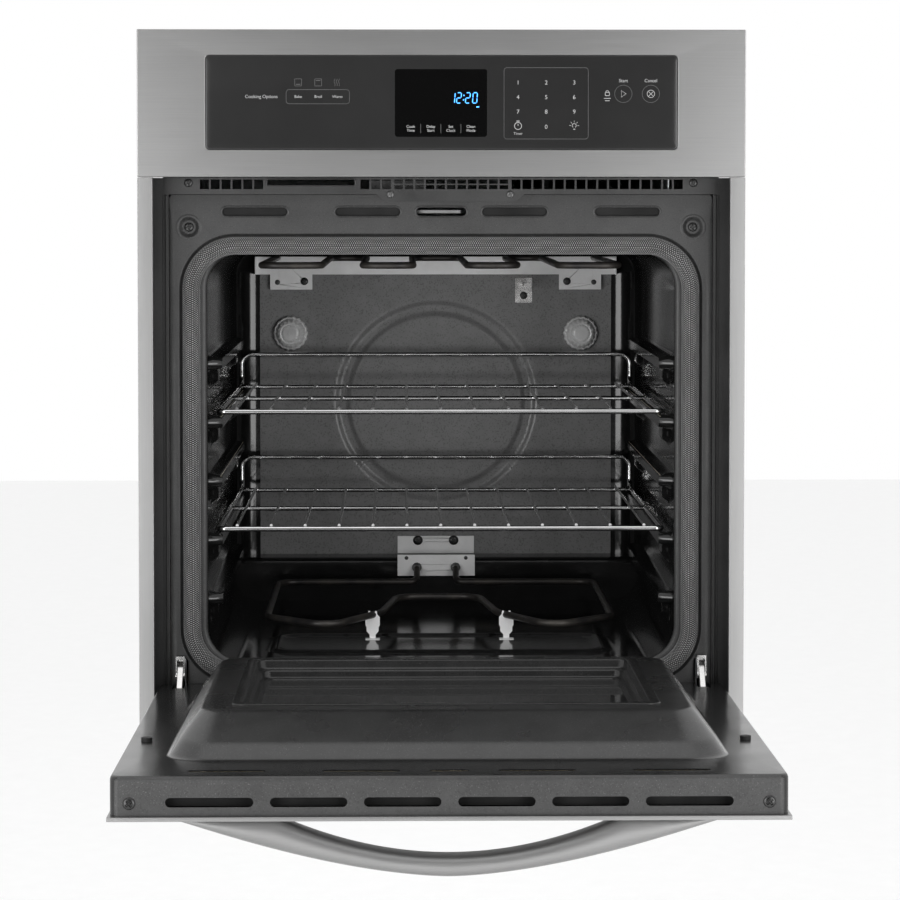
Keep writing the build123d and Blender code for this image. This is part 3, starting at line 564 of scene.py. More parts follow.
def oblong(u, v):
    """The four corners of a plain rectangle between two ranges."""
    return [(u[0], v[0]), (u[1], v[0]), (u[1], v[1]), (u[0], v[1])]


def round_about(steps):
    """Equal turns once round a circle."""
    return [2 * math.pi * i / steps for i in range(steps)]


def lathe(profile, centre, steps=32, wave=0.0, waves=0):
    """A turned shape about a line along Y; profile is (radius, y), from the rim to the middle."""
    loops = []
    for r, y in profile:
        loop = []
        for a in round_about(steps):
            reach = r * (1 + wave * math.cos(waves * a))
            loop.append((centre[0] + reach * math.cos(a), y, centre[1] + reach * math.sin(a)))
        loops.append(loop)
    return bridge(loops, cap_last=True)


def rim(outline, radius, y, lay=through_y, steps=8, grow=0.0):
    """A round bead that follows a closed outline."""
    count = len(outline)
    loops = []
    for i in range(count):
        before, here, after = (Vector(outline[(i + k) % count]) for k in (-1, 0, 1))
        along = ((after - here).normalized() + (here - before).normalized()).normalized()
        out = Vector((along.y, -along.x))
        loop = []
        for a in round_about(steps):
            place = here + out * (grow + radius * math.cos(a))
            loop.append(lay(place.x, place.y, y + radius * math.sin(a)))
        loops.append(loop)
    return bridge(loops, closed=True)


def screw_head(centre, face, radius, height=2.0, cross=True, turn=0.4):
    """A domed head with a cross recess, proud of a face at depth `face` towards -Y."""
    rings = (1.0, 1.0, 0.93, 0.8, 0.64, 0.52, 0.44, 0.34, 0.22, 0.1)
    rises = (0.0, 0.35, 0.62, 0.8, 0.92, 0.97, 0.99, 1.0, 1.0, 1.0)
    loops = []
    for share, rise in zip(rings, rises):
        loop = []
        for a in round_about(40):
            u, v = radius * share * math.cos(a - turn), radius * share * math.sin(a - turn)
            arm = radius * 0.13
            sunk = cross and share < 0.6 and (abs(u) < arm or abs(v) < arm)
            depth = face - height * rise + (height * 0.55 if sunk else 0.0)
            x, z = radius * share * math.cos(a), radius * share * math.sin(a)
            loop.append((centre[0] + x, depth, centre[1] + z))
        loops.append(loop)
    return bridge(loops, cap_last=True)


def hex_head(centre, face, radius, height=4.0, away=1.0):
    """A hexagon-washer screw head on a face, proud towards `away` along Y."""
    def loop(r, y, sides):
        made = []
        for a in round_about(36):
            flat = math.cos(math.pi / 6) / math.cos((a % (math.pi / 3)) - math.pi / 6) if sides else 1.0
            x, z = r * flat * math.cos(a), r * flat * math.sin(a)
            made.append((centre[0] + x, face + away * y, centre[1] + z))
        return made
    rows = [(radius * 1.35, 0, 0), (radius * 1.35, 0.6, 0), (radius * 1.2, 1.0, 0), (radius, 1.0, 1)]
    rows += [(radius, height * 0.8, 1), (radius * 0.88, height, 1)]
    return bridge([loop(*row) for row in rows], cap_last=True)


# ---- the control panel
panel_low, panel_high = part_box("control_glass")
PANEL_Y = panel_low.y / MM
panel_z = (panel_low.z / MM, panel_high.z / MM)
panel_half = panel_high.x / MM

face = pressed(
    [
        (panel_half - 0.3, panel_z[0] + 0.3, panel_z[1] - 0.3, 4.0, PANEL_Y + 3.6, 0),
        (panel_half - 0.3, panel_z[0] + 0.3, panel_z[1] - 0.3, 4.0, PANEL_Y, 0.9),
        (panel_half - 8, panel_z[0] + 8, panel_z[1] - 8, 3.0, PANEL_Y, 0),
    ]
)
face = bridge(face, cap_first=True, cap_last=True)
face = piece("panel_window", *face, "panel_glass", "black_glass", stands_for=["control_glass"])
facing(face, (0, PANEL_Y + 2, 655))

screen = pressed(
    [
        (45.9, 620.7, 687.8, 3.0, PANEL_Y, 0),
        (45.9, 620.7, 687.8, 3.0, PANEL_Y - 0.12, 0.1),
        (45.0, 621.6, 686.9, 2.4, PANEL_Y - 0.12, 0),
    ]
)
screen = bridge([[(x - 0.8, y, z) for x, y, z in loop] for loop in screen], cap_last=True)
facing(piece("display_screen", *screen, "display", "black_glass"), (0, PANEL_Y + 2, 655))


def stroke(path, width, closed=False):
    """A flat line of even width along points in X and Z, as a thin solid on the glass."""
    count = len(path)
    left, right = [], []
    for i in range(count):
        before = Vector(path[i - 1]) if i or closed else None
        after = Vector(path[(i + 1) % count]) if i < count - 1 or closed else None
        here = Vector(path[i])
        along = Vector((0.0, 0.0))
        if before is not None:
            along += (here - before).normalized()
        if after is not None:
            along += (after - here).normalized()
        side = Vector((-along.y, along.x)).normalized() * width / 2
        left.append(here + side)
        right.append(here - side)
    y = (PANEL_Y - 0.13, PANEL_Y - 0.2)
    loops = []
    for a, b in zip(left, right):
        loops.append([(a.x, y[0], a.y), (a.x, y[1], a.y), (b.x, y[1], b.y), (b.x, y[0], b.y)])
    return bridge(loops, cap_first=not closed, cap_last=not closed, closed=closed)


def ring_path(x, z, r, start=0.0, end=360.0, steps=24):
    count = steps if end - start >= 360 else steps + 1
    turn = [math.radians(start + (end - start) * i / steps) for i in range(count)]
    return [(x + r * math.cos(a), z + r * math.sin(a)) for a in turn]


def box_path(x, z, r=3.0):
    """A rounded rectangle's outline in X and Z."""
    middle, half = (x[0] + x[1]) / 2, (x[1] - x[0]) / 2
    return [(p[0], p[2]) for p in arc_loop(half, z, r, 0, 5, middle)]


def words(text, x, z, size):
    """Generic lettering centred at X and Z, as (points, faces)."""
    curve = bpy.data.curves.new("words", "FONT")
    curve.body = text
    curve.size = size
    curve.align_x = "CENTER"
    curve.align_y = "CENTER"
    curve.extrude = 0.03
    obj = placed("words", curve)
    graph = bpy.context.evaluated_depsgraph_get()
    mesh = bpy.data.meshes.new_from_object(obj.evaluated_get(graph))
    found = [(x + v.co.x, PANEL_Y - 0.16 - v.co.z, z + v.co.y) for v in mesh.vertices]
    faces = [list(p.vertices) for p in mesh.polygons]
    bpy.data.objects.remove(obj)
    return found, faces


LINE = 0.32
KEY_X = (75.5, 103.4, 131.2)
START_X, CANCEL_X, BUTTON_Z = 179.9, 207.2, 663.4
MODE_X = (-142.1, -122.3, -103.4)
outlines = [stroke(box_path((61.6, 145.1), (618.7, 689.2)), LINE, True)]
outlines.append(stroke(box_path((-154.0, -91.4), (653.4, 667.4)), LINE, True))
labels = []
for row, z in enumerate((674.3, 659.9, 645.5)):
    labels += [(str(3 * row + column + 1), x, z, 5.8) for column, x in enumerate(KEY_X)]
labels.append(("0", KEY_X[1], 630.6, 5.8))
labels += [(text, x, 660.4, 3.9) for text, x in zip(("Bake", "Broil", "Warm"), MODE_X)]
labels.append(("Cooking Options", -178.5, 660.4, 4.6))
labels += [("Start", START_X, 676.3, 4.6), ("Cancel", CANCEL_X, 676.3, 4.6)]
for text, x in (("Cook Time", -30.8), ("Delay Start", -10.9), ("Set Clock", 8.9), ("Clean Mode", 28.8)):
    labels += [(word, x, z, 3.8) for word, z in zip(text.split(), (630.9, 627.0))]
labels.append(("Timer", KEY_X[0], 624.0, 3.6))
printed = [words(*label) for label in labels]
# dividers, the mode symbols and the two round buttons
for x in (-20.9, -1.0, 18.9):
    outlines.append(stroke([(x, 624.5), (x, 633.5)], 0.35))
for x in MODE_X[:2]:
    outlines.append(stroke(box_path((x - 3.4, x + 3.4), (671.0, 678.0), 0.8), LINE, True))
for x, z in ((-144.3, 672.6), (-124.5, 676.4)):
    outlines.append(stroke([(x, z), (x + 4.4, z)], 0.5))
for k in (-2.2, 0.0, 2.2):
    wave = [(-103.9 + k + 0.6 * math.sin(i * 1.1), 671.0 + i) for i in range(8)]
    outlines.append(stroke(wave, LINE))
for x in (START_X, CANCEL_X):
    outlines.append(stroke(ring_path(x, BUTTON_Z, 8.6, steps=40), LINE, True))
# open and closed strokes: play, cross, lock, timer and lamp
marks = [
    ([(177.9, 660.1), (182.5, BUTTON_Z), (177.9, 666.7)], 0.55, True),
    (ring_path(CANCEL_X, BUTTON_Z, 3.7), 0.5, True),
    ([(205.0, BUTTON_Z + 2.2), (209.4, BUTTON_Z - 2.2)], 0.5),
    ([(205.0, BUTTON_Z - 2.2), (209.4, BUTTON_Z + 2.2)], 0.5),
    (box_path((161.9, 166.1), (661.6, 664.8), 0.5), 0.6, True),
    (ring_path(164.0, 665.0, 1.5, 0, 180, 10), 0.5),
    ([(160.6, 658.9), (167.4, 658.9)], 0.6),
    ([(161.6, 656.6), (166.4, 656.6)], 0.6),
    (ring_path(KEY_X[0], 631.6, 3.5), 0.6, True),
    ([(75.5, 631.6), (75.5, 633.8)], 0.5),
    ([(74.0, 636.4), (77.0, 636.4)], 0.8),
    (ring_path(KEY_X[2], 632.0, 2.0, -60, 240, 16), 0.5),
    ([(130.2, 628.4), (132.2, 628.4)], 0.7),
]
for turn in (0, 45, 90, 135, 180):
    a = math.radians(turn)
    ends = [(KEY_X[2] + r * math.cos(a), 632.0 + r * math.sin(a)) for r in (3.1, 4.9)]
    marks.append((ends, 0.4))
printed += [stroke(*mark) for mark in marks]
fitting("panel_print", printed, "print", "black_glass")
fitting("panel_outlines", outlines, "faint", "black_glass")

SEGMENTS = {"1": "bc", "2": "abged", "0": "abcdef"}
# each segment's two ends, in half widths and half heights of the figure
ENDS = {"a": (-1, 2, 1, 2), "b": (1, 2, 1, 1), "c": (1, 1, 1, 0), "d": (-1, 0, 1, 0)}
ENDS |= {"e": (-1, 1, -1, 0), "f": (-1, 2, -1, 1), "g": (-1, 1, 1, 1)}
digits = []
for x, figure in ((10.4, "1"), (16.6, "2"), (25.4, "2"), (32.4, "0")):
    for name in SEGMENTS[figure]:
        a, b = (Vector((2.1 * ENDS[name][i], 5.1 * ENDS[name][i + 1])) for i in (0, 2))
        gap = (b - a).normalized() * 0.55
        lean = [(x + p.x + 0.08 * p.y, 654.2 + p.y) for p in (a + gap, b - gap)]
        digits.append(stroke(lean, 0.75))
for up in (3.2, 7.6):
    digits.append(stroke([(21.3 + 0.08 * up, 653.6 + up), (21.3 + 0.08 * up, 654.8 + up)], 1.1))
digits.append(stroke([(34.2, 650.4), (37.0, 650.4)], 1.0))
fitting("clock_digits", digits, "clock", "black_glass")


# ---- the enamelled frame round the mouth
FRAME_SLOTS = ((41.0, 107.0), (154.5, 220.5))
FRAME_SLOT_Z = (542.0, 551.0)
DOOR_SLOT_Z = (543.0, 551.0)
DIMPLE_X = 254.0
DIMPLE_Z = 531.0
SEAT_Y = 3.5
SEAL_R = 53.0
slots = [(-25.5, 25.5)] + [s for low, high in FRAME_SLOTS for s in ((low, high), (-high, -low))]
rims = [rim(stadium(x, FRAME_SLOT_Z), 1.15, 0.35, grow=0.7) for x in slots]
hinge_slots = [stadium(x, (52.0, 96.0)) for x in ((255.5, 267.0), (-267.0, -255.5))]
rims += [rim(outline, 0.9, 0.3, grow=0.5) for outline in hinge_slots]
for x in (-DIMPLE_X, DIMPLE_X):
    cup = [(13.6, 0.25), (12.4, -0.35), (11.2, -0.55), (10.2, -0.2)]
    cup += [(9.2, 0.9), (7.9, 2.9), (6.8, 3.7), (0.5, 3.75)]
    rims.append(lathe(cup, (x, DIMPLE_Z), 40))
fitting("frame_pressings", rims, "frame", "enamel")

seal_low, seal_high = (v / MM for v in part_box("door_gasket"))


def round_seal(grow, y, rounding):
    """A station of the frame's pressing, standing off the seal's outer edge."""
    z = (seal_low.z - grow, seal_high.z + grow)
    return (seal_high.x + grow, *z, SEAL_R + grow, y, rounding)


sheet = pressed(
    [
        (273.5, 30.0, 564.0, 4.0, 3.0, 0),
        (273.5, 30.0, 564.0, 4.0, 0.0, 1.0),
        round_seal(3.2, 0.0, 1.0),
        round_seal(1.2, SEAT_Y, 1.0),
        (238.8, 89.2, 507.8, 37.8, SEAT_Y, 1.6),
        (236.2, 91.8, 505.2, 35.2, SEAT_Y + 2.6, 0),
    ],
    steps=14,
)
panel = piece("frame_panel", *bridge(sheet), "frame", "enamel", stands_for=["front_frame"])
facing(panel, (0, 40, 300))
thicken(panel, 0.6)
cutters = [prism(stadium(x, FRAME_SLOT_Z), -2.0, 7.0) for x in slots]
cutters += [prism(outline, -2.0, 7.0) for outline in hinge_slots]
for x in (-DIMPLE_X, DIMPLE_X):
    cutters.append(prism(ring_path(x, DIMPLE_Z, 12.0), -2.0, 7.0))
carve(panel, cutters)
# near-black sheets just behind the frame's vent slots: painted shade seen through the slots
behind = [box_path(x, (538.0, 555.0)) for x in ((36.0, 226.0), (-226.0, -36.0))]
slot_shade_sheets = [prism(outline, 2.0, 2.5) for outline in behind]
fitting("frame_slot_painted_shade", slot_shade_sheets, "void", "black_paint")

folds_and_gap_shade = []
for side in (-1, 1):
    for x, width, y in ((276.2, 1.1, -3.2), (279.6, 0.8, -1.8)):
        loops = []
        for z in (30.0, 31.0, 562.6, 563.6):
            end = 0.6 if z in (30.0, 563.6) else 1.0
            left = [(-width, 0.1), (-width, y * end + 0.6), (-width * 0.4, y * end)]
            ring = left + [(-u, v) for u, v in reversed(left)]
            loops.append([(side * (x + u), v, z) for u, v in ring])
        folds_and_gap_shade.append(bridge(loops, cap_first=True, cap_last=True))
# flat dark strips over the gap and the trim flange beside the frame: painted shade
for side in (-1, 1):
    across = sorted((side * 273.9, side * 292.0))
    folds_and_gap_shade.append(prism(oblong(across, (2.0, 580.4)), -1.3, -0.9))
fitting("frame_folds_and_gap_shade", folds_and_gap_shade, "dark_paint", "black_paint")

vent_rim = rim(box_path((-175.5, -86.5), (572.6, 579.4), 1.6), 0.7, -1.5)
fitting("vent_slot_rim", [vent_rim], "frame", "black_paint")


# ---- the woven seal
def knit(s, u):
    """Height of the knitted surface, 0 to 1, a way s along and u across, in millimetres."""
    row = u / 1.9
    shift = 0.5 * (int(math.floor(row)) % 2)
    along = abs(math.sin(math.pi * (s / 2.3 + shift + 0.35 * abs(row % 1.0 - 0.5))))
    across = abs(math.sin(math.pi * row))
    return (0.25 + 0.75 * along) * (0.2 + 0.8 * across)


def make_gasket():
    """A knitted tube flattened on the frame, its loops in the mesh."""
    band, depth = 17.6, SEAT_Y + 7.6
    half = seal_high.x - band / 2
    z = (seal_low.z + band / 2, seal_high.z - band / 2)
    radius = SEAL_R - band / 2
    base = arc_loop(half, z, radius, 0, 48)
    path, travel = [], 0.0
    for i, here in enumerate(base):
        after = base[(i + 1) % len(base)]
        step = math.dist(here, after)
        cuts = max(1, round(step / 0.78))
        for k in range(cuts):
            t = k / cuts
            x, up = (here[j] + (after[j] - here[j]) * t for j in (0, 2))
            path.append((x, up, travel + step * t))
        travel += step
    count, around = len(path), 27
    points, heights, uvs = [], [], []
    for i, (x, up, s) in enumerate(path):
        before, after = path[i - 1], path[(i + 1) % count]
        along = Vector((after[0] - before[0], after[1] - before[1])).normalized()
        out = Vector((along.y, -along.x))
        for k in range(around):
            a = math.pi * k / (around - 1)
            u = band * 0.66 * k / (around - 1) * 1.35
            height = knit(s * 2.3 * round(travel / 2.3) / travel, u)
            swell = 1.0 + 0.055 * (height - 0.6)
            sideways = band / 2 * math.copysign(abs(math.cos(a)) ** 0.85, math.cos(a)) * swell
            rise = depth * max(0.0, math.sin(a)) ** 0.7 * (1.0 + 0.07 * (height - 0.75))
            points.append((x + out.x * sideways, SEAT_Y + 0.1 - rise, up + out.y * sideways))
            heights.append(height)
            uvs.append((s * MM, u * MM))
    faces, corner_uv = [], []
    for i in range(count):
        j = (i + 1) % count
        for k in range(around - 1):
            quad = [i * around + k, i * around + k + 1, j * around + k + 1, j * around + k]
            faces.append(quad)
            for c in quad:
                corner_uv += uvs[c]
    looks = {"stands_for": ["door_gasket"], "sharp": math.pi}
    obj = piece("woven_gasket", points, faces, "braid", "gasket", **looks)
    mesh = obj.data
    # the knit's height, which the braid material turns into painted shade in the low places
    mesh.attributes.new("knit", "FLOAT", "POINT").data.foreach_set("value", heights)
    mesh.uv_layers.new(name="UVMap").data.foreach_set("uv", corner_uv)
    facing(obj, (0, 300, 300))


make_gasket()


# ---- the oven cavity
CAVITY_HALF = 236.0
CAVITY_Z = (92.0, 505.0)
MOUTH_R = 35.0
LEVELS = [159.4 + 60 * i for i in range(5)]


def ease(value, low, high):
    """0 at low, 1 at high, with a smooth run between, for arrays."""
    t = np.clip((value - low) / (high - low), 0, 1)
    return t * t * (3 - 2 * t)


def patch(u, v, u_range, v_range, radius, slope):
    """1 inside a rounded rectangle and 0 outside, falling over `slope`."""
    middle = [(r[0] + r[1]) / 2 for r in (u_range, v_range)]
    half = [(r[1] - r[0]) / 2 - radius for r in (u_range, v_range)]
    du = np.maximum(np.abs(u - middle[0]) - half[0], 0)
    dv = np.maximum(np.abs(v - middle[1]) - half[1], 0)
    return 1 - ease(np.hypot(du, dv), radius - slope, radius)


def wall_relief(y, z):
    """How far a side wall stands in, with its rack guides and their gussets."""
    relief = np.zeros_like(y)
    for level in LEVELS:
        guide = 13.8 * patch(y, z, (21.5, 448.5), (level - 15.2, level + 0.6), 7.0, 2.6)
        lower = (level - 34.0, level - 9.0)
        gusset = 8.0 * patch(y, z, (44, 92), lower, 11, 8)
        far = 8.0 * patch(y, z, (372, 420), lower, 11, 8)
        relief = np.maximum.reduce([relief, guide, gusset, far])
    return relief


def floor_relief(x, y):
    """The floor's pressed panel: a raised border round a level field."""
    field = patch(x, y, (-176, 176), (46, 174), 26, 5)
    inner = patch(x, y, (-166, 166), (56, 164), 18, 5)
    return 3.0 * (field - inner) + 0.8 * inner


def make_cavity():
    """The liner's inside, as one dense skin from the mouth to the middle of the back wall."""
    stations = [(SEAT_Y + 1.5, 0.0)] + [(y, 0.0) for y in np.arange(8.0, 450.0, 3.0)]
    bend = np.linspace(0, math.pi / 2, 12)
    stations += [(450 + 30 * math.sin(a), 30 * (1 - math.cos(a))) for a in bend]
    stations += [(480.0, inset) for inset in np.arange(32.0, 203.0, 2.6)]
    unit = []
    for corner in range(4):
        for a in np.linspace(0, math.pi / 2, 13):
            unit.append((corner, a + corner * math.pi / 2, None))
        count = 90 if corner in (0, 2) else 170
        for t in np.linspace(0, 1, count + 1)[1:-1]:
            unit.append((corner, None, t))
    signs = ((1, 1), (-1, 1), (-1, -1), (1, -1))
    rows = []
    for y, inset in stations:
        half = CAVITY_HALF - inset
        low, high = CAVITY_Z[0] + inset, CAVITY_Z[1] - inset
        r = max(MOUTH_R - inset, 0.4)
        centres = [(sx * (half - r), (high if sz > 0 else low) - sz * r) for sx, sz in signs]
        row = []
        for corner, a, t in unit:
            cx, cz = centres[corner]
            if a is not None:
                row.append((cx + r * math.cos(a), y, cz + r * math.sin(a)))
                continue
            nx, nz = centres[(corner + 1) % 4]
            out = (corner + 1) * math.pi / 2
            ex, ez = r * math.cos(out), r * math.sin(out)
            row.append((cx + ex + (nx - cx) * t, y, cz + ez + (nz - cz) * t))
        rows.append(row)
    grid = np.array(rows)
    x, y, z = grid[..., 0], grid[..., 1], grid[..., 2]
    tube = (y < 452)
    upright = tube & (np.abs(x) > CAVITY_HALF - 2)
    level = tube & (z < CAVITY_Z[0] + 2)
    inwards = np.where(upright, wall_relief(y, z), 0.0)
    lift = np.where(level, floor_relief(x, y), 0.0)
    ring = np.hypot(x, z - 322.0)
    groove = ease(ring, 100.5, 104.5) * (1 - ease(ring, 113.5, 117.5))
    deeper = np.where(y > 479.9, 3.2 * groove, 0.0)
    grid[..., 0] = x - np.sign(x) * inwards
    grid[..., 1] = y + deeper
    grid[..., 2] = z + lift
    skin = bridge([[tuple(p) for p in row] for row in grid], cap_last=True)
    looks = {"stands_for": ["cavity_liner"], "sharp": math.radians(50)}
    obj = piece("cavity_lining", *skin, "cavity", "enamel", **looks)
    # the back wall's middle takes the lighter copy of the cavity enamel: painted light
    obj.data.materials.append(M["back"])
    painted_light_wall = [int(f.center.y > 0.4795 and abs(f.center.x) < 0.208) for f in obj.data.polygons]
    obj.data.polygons.foreach_set("material_index", painted_light_wall)
    facing(obj, (0, 240, 300), outwards=False)


make_cavity()

ledge = softened([(440.1, 90, 0), (440.1, 142, 8), (484, 142, 0)], 6)
outline = [(p[0], p[1]) for p in ledge] + [(484, 90)]
piece("cavity_ledge", *prism(outline, -237, 237, lambda u, v, w: (w, u, v)), "cavity", "enamel")


# ---- lamps, screws and element fittings
lens_low, lens_high = (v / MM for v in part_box("lamp_lenses"))
LAMP_Z = (lens_low.z + lens_high.z) / 2
LENS_R = (lens_high.z - lens_low.z) / 2
LAMP_X = lens_high.x - LENS_R
lenses = []
for x in (-LAMP_X, LAMP_X):
    profile = [(19.6, 480.2), (20.0, 477.0), (19.8, 474.4), (18.6, 472.6), (17.4, 472.4), (16.6, 471.2)]
    profile += [(15.4, 468.4), (13.6, 466.2), (12.0, 465.4), (10.6, 465.8), (9.0, 464.9), (7.0, 464.3)]
    profile += [(5.0, 464.5), (3.2, 464.1), (1.0, 464.0)]
    lenses.append(lathe(profile, (x, LAMP_Z), 144, 0.024, 18))
lens = fitting("lamp_covers", lenses, "lens", "lens_glass", stands_for=["lamp_lenses"], sharp=math.pi)
facing(lens, (0, 700, LAMP_Z))
thicken(lens, 1.6)
applied(lens)
profile = [(18.4, 479.0), (17.0, 478.6), (15.0, 479.4), (7.5, 479.7), (2.0, 479.7)]
cups = [lathe(profile, (x, LAMP_Z), 48) for x in (-LAMP_X, LAMP_X)]
fitting("lamp_reflectors", cups, "aluminised", "galvanised")

WALL_SCREWS = [((-153.7, 463.0), 472.8), ((153.7, 463.0), 472.8), ((103.2, 446.2), 478.8)]
heads = [screw_head(at, y, 4.4, 2.3) for at, y in WALL_SCREWS]
heads += [screw_head((x, 158.0), 478.8, 5.6, 3.0) for x in (-21.0, 21.0)]
heads += [screw_head((x, DIMPLE_Z), 3.8, 4.6, 2.4, turn=0.2) for x in (-DIMPLE_X, DIMPLE_X)]
heads += [screw_head((x, 575.5), -1.4, 4.2, 2.0) for x in (-DIMPLE_X, DIMPLE_X)]
fitting("dark_screws", heads, "black_oxide", "bright_steel", stands_for=["body_screws"])
tab_screws = [screw_head((x, 564.0), -1.4, 3.6, 2.0) for x in (-51.0, 69.5)]
fitting("grille_screws", tab_screws, "dull", "bright_steel")


# ---- the door's pressed inner panel
def make_door_panel():
    """The enamelled pan with its rounded plug, vent slots and hinge notches."""
    loops = pressed(
        [
            (283.5, 54.0, 572.0, 8.0, -41.8, 0),
            (283.5, 54.0, 572.0, 8.0, -8.5, 4.5),
            (262.0, 75.0, 528.0, 30.0, -8.5, 0),
            (241.5, 95.5, 501.5, 38.0, -8.5, 4.0),
            (234.0, 98.5, 484.0, 33.0, 3.5, 4.0),
            (217.0, 101.0, 431.0, 22.0, 24.5, 5.0),
            (190.4, 119.6, 405.4, 10.0, 24.5, 1.2),
            (190.4, 119.6, 405.4, 10.0, 20.0, 0),
        ],
        steps=12,
        round_steps=6,
    )
    obj = piece("door_panel", *bridge(loops), "pan", "enamel", "door", stands_for=["door_liner"])
    facing(obj, (0, -38, 300))
    thicken(obj, 1.0)
    cutters = []
    for x in slots[1:]:
        cutters.append(prism(stadium(x, DOOR_SLOT_Z), -13.0, -5.0))
    cutters.append(prism(stadium((-17.0, 17.0), DOOR_SLOT_Z), -13.0, -5.0))
    for low, high in ((7.0, 71.6), (85.3, 149.8), (163.5, 237.0)):
        for x in ((low, high), (-high, -low)):
            cutters.append(prism(stadium(x, (-34.4, -26.4)), 567.0, 577.0, as_drawn))
    for x in ((257.0, 270.0), (-270.0, -257.0)):
        cutters.append(prism(oblong(x, (40.0, 92.0)), -25.0, 0.0))
    carve(obj, cutters)
    obj.data.materials.append(M["plug"])
    # the lip's top face takes the lighter, matte frame enamel: painted light on the face turned to the
    # lamps
    obj.data.materials.append(M["frame"])
    enamels_with_painted_lip_light = [2 if f.center.z / MM > 571.0 else int(f.center.y / MM > -7.4) for f in obj.data.polygons]
    obj.data.polygons.foreach_set("material_index", enamels_with_painted_lip_light)
    turned = opened([v.co / MM for v in obj.data.vertices]) * MM
    obj.data.vertices.foreach_set("co", turned.ravel())
    obj.data.update()


make_door_panel()


def door_piece(name, part, look, slot, stands_for=(), inside=None, sharp=SHARP):
    """A piece drawn on the shut door."""
    obj = piece(name, opened(part[0]), part[1], look, slot, "door", stands_for, sharp)
    if inside is not None:
        facing(obj, opened([inside])[0])
    return obj


window = pressed(
    [
        (191.4, 118.6, 406.4, 11.0, 24.0, 0),
        (191.4, 118.6, 406.4, 11.0, 25.4, 0.8),
        (181.5, 127.5, 396.5, 8.0, 25.4, 1.4),
        (180.0, 129.0, 395.0, 8.0, 17.0, 1.6),
        (176.5, 132.5, 391.5, 8.0, 15.5, 1.4),
        (175.5, 133.5, 390.5, 8.0, 8.6, 1.4),
        (171.0, 138.0, 386.0, 8.0, 8.0, 0),
        (170.6, 138.4, 385.6, 8.0, 7.4, 0),
    ],
    steps=8,
)
door_piece("window_surround", bridge(window), "pan", "enamel", ["window_frame"], (0, -40, 300))

lip = []
for x in (-267.0, 267.0):
    head = screw_head((x, -31.0), -572.0, 5.2, 2.0, turn=0.7)
    lip.append(([(px, pz, -py) for px, py, pz in head[0]], head[1]))
door_piece("lip_screws", merged(lip), "pan", "bright_steel", ["door_screws"])

# near-black sheets inside the door: painted shade seen through the lip slots and the flange slots
parts = [prism(oblong((-240.0, 240.0), (-36.0, -25.0)), 556.0, 558.0, as_drawn)]
# painted shade behind the flange slots, set back in the middle where the latch hook comes through
for left, right, deep in ((-241.0, -22.0, -12.0), (-30.0, 30.0, -23.4), (22.0, 241.0, -12.0)):
    under = oblong((left, right), (deep, deep + 1.4))
    parts.append(prism(under, 540.0, 554.0, as_drawn))
door_piece("lip_slot_painted_shade", merged(parts), "void", "black_paint")


SKIN_Y = -45.5
HANDLE_Z = 545.0
HANDLE_REACH = 51.9
HANDLE_GAP = 33.0
HANDLE_INNER = 146.0
HANDLE_BOW = 1.65  # how flat the bow is in its middle
HANDLE_SQUARE = 0.8  # below 1, the section is fuller than an ellipse
HANDLE_STEPS = 60


def make_handle():
    """The bowed bar, its section nearly oval, thinning to its ends on the skin."""
    end = (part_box("handle")[1] / MM).x
    loops = []
    for i in range(-HANDLE_STEPS, HANDLE_STEPS + 1):
        t = i / HANDLE_STEPS
        x = end * t * 0.999
        out = SKIN_Y - HANDLE_REACH * (1 - abs(t) ** HANDLE_BOW) - 0.6
        back = SKIN_Y - HANDLE_GAP * max(0.0, 1 - (x / HANDLE_INNER) ** 2)
        middle, deep = (out + back) / 2, (back - out) / 2
        loop = []
        for a in round_about(28):
            u, v = (math.copysign(abs(c) ** HANDLE_SQUARE, c) for c in (math.cos(a), math.sin(a)))
            loop.append((x, middle + deep * u, HANDLE_Z + 12.0 * v))
        loops.append(loop)
    part = bridge(loops, cap_first=True, cap_last=True)
    door_piece("door_handle", part, "steel_x", "stainless", ["handle"], (0, SKIN_Y - 43, HANDLE_Z))


make_handle()


# ---- the element's feet
def foot_outline():
    """One foot seen from the front: a wide grip over a narrow leg."""
    right = [(3.2, 92.4), (3.2, 97.0), (6.4, 100.5), (6.4, 105.0), (7.6, 107.0)]
    right += [(7.6, 115.5), (5.0, 118.5), (4.4, 122.2), (2.6, 122.2), (2.2, 117.4)]
    return right + [(-x, z) for x, z in reversed(right)]


feet = []
for x in (-71.0, 71.0):
    feet.append(prism([(x + u, v) for u, v in foot_outline()], 143.4, 144.8))
    feet.append(prism(oblong((x - 7.5, x + 7.5), (92.2, 93.4)), 134.0, 145.0))
fitting("element_feet", feet, "aluminised", "galvanised", stands_for=["bake_feet"])
profile = [(5.6, 438.9), (5.6, 437.6), (5.0, 436.4), (4.8, 432.0), (4.3, 431.2), (3.7, 431.0)]
collars = [lathe(profile, (x, 131.0)) for x in (-22.5, 22.5)]
fitting("element_collars", collars, "black_oxide", "element")
rivets = [screw_head((x, 142.0), 438.8, 2.2, 0.6, cross=False) for x in (-34.5, 34.5)]
rivets += [screw_head((x, 462.0), 472.8, 3.0, 0.7, cross=False) for x in (-185.2, 185.2)]
fitting("plate_rivets", rivets, "black_oxide", "galvanised")


# ---- the outside of the casing
def dome(u, v, height, lay, steps=4):
    """A long raised bead with a rounded back."""
    loops = []
    for k in range(steps + 1):
        a = math.pi / 2 * k / steps
        shrink = (min(u[1] - u[0], v[1] - v[0]) / 2 - 0.6) * (1 - math.cos(a))
        outline = stadium((u[0] + shrink, u[1] - shrink), (v[0] + shrink, v[1] - shrink))
        loops.append([lay(a_, b_, height * math.sin(a)) for a_, b_ in outline])
    return bridge(loops, cap_last=True)


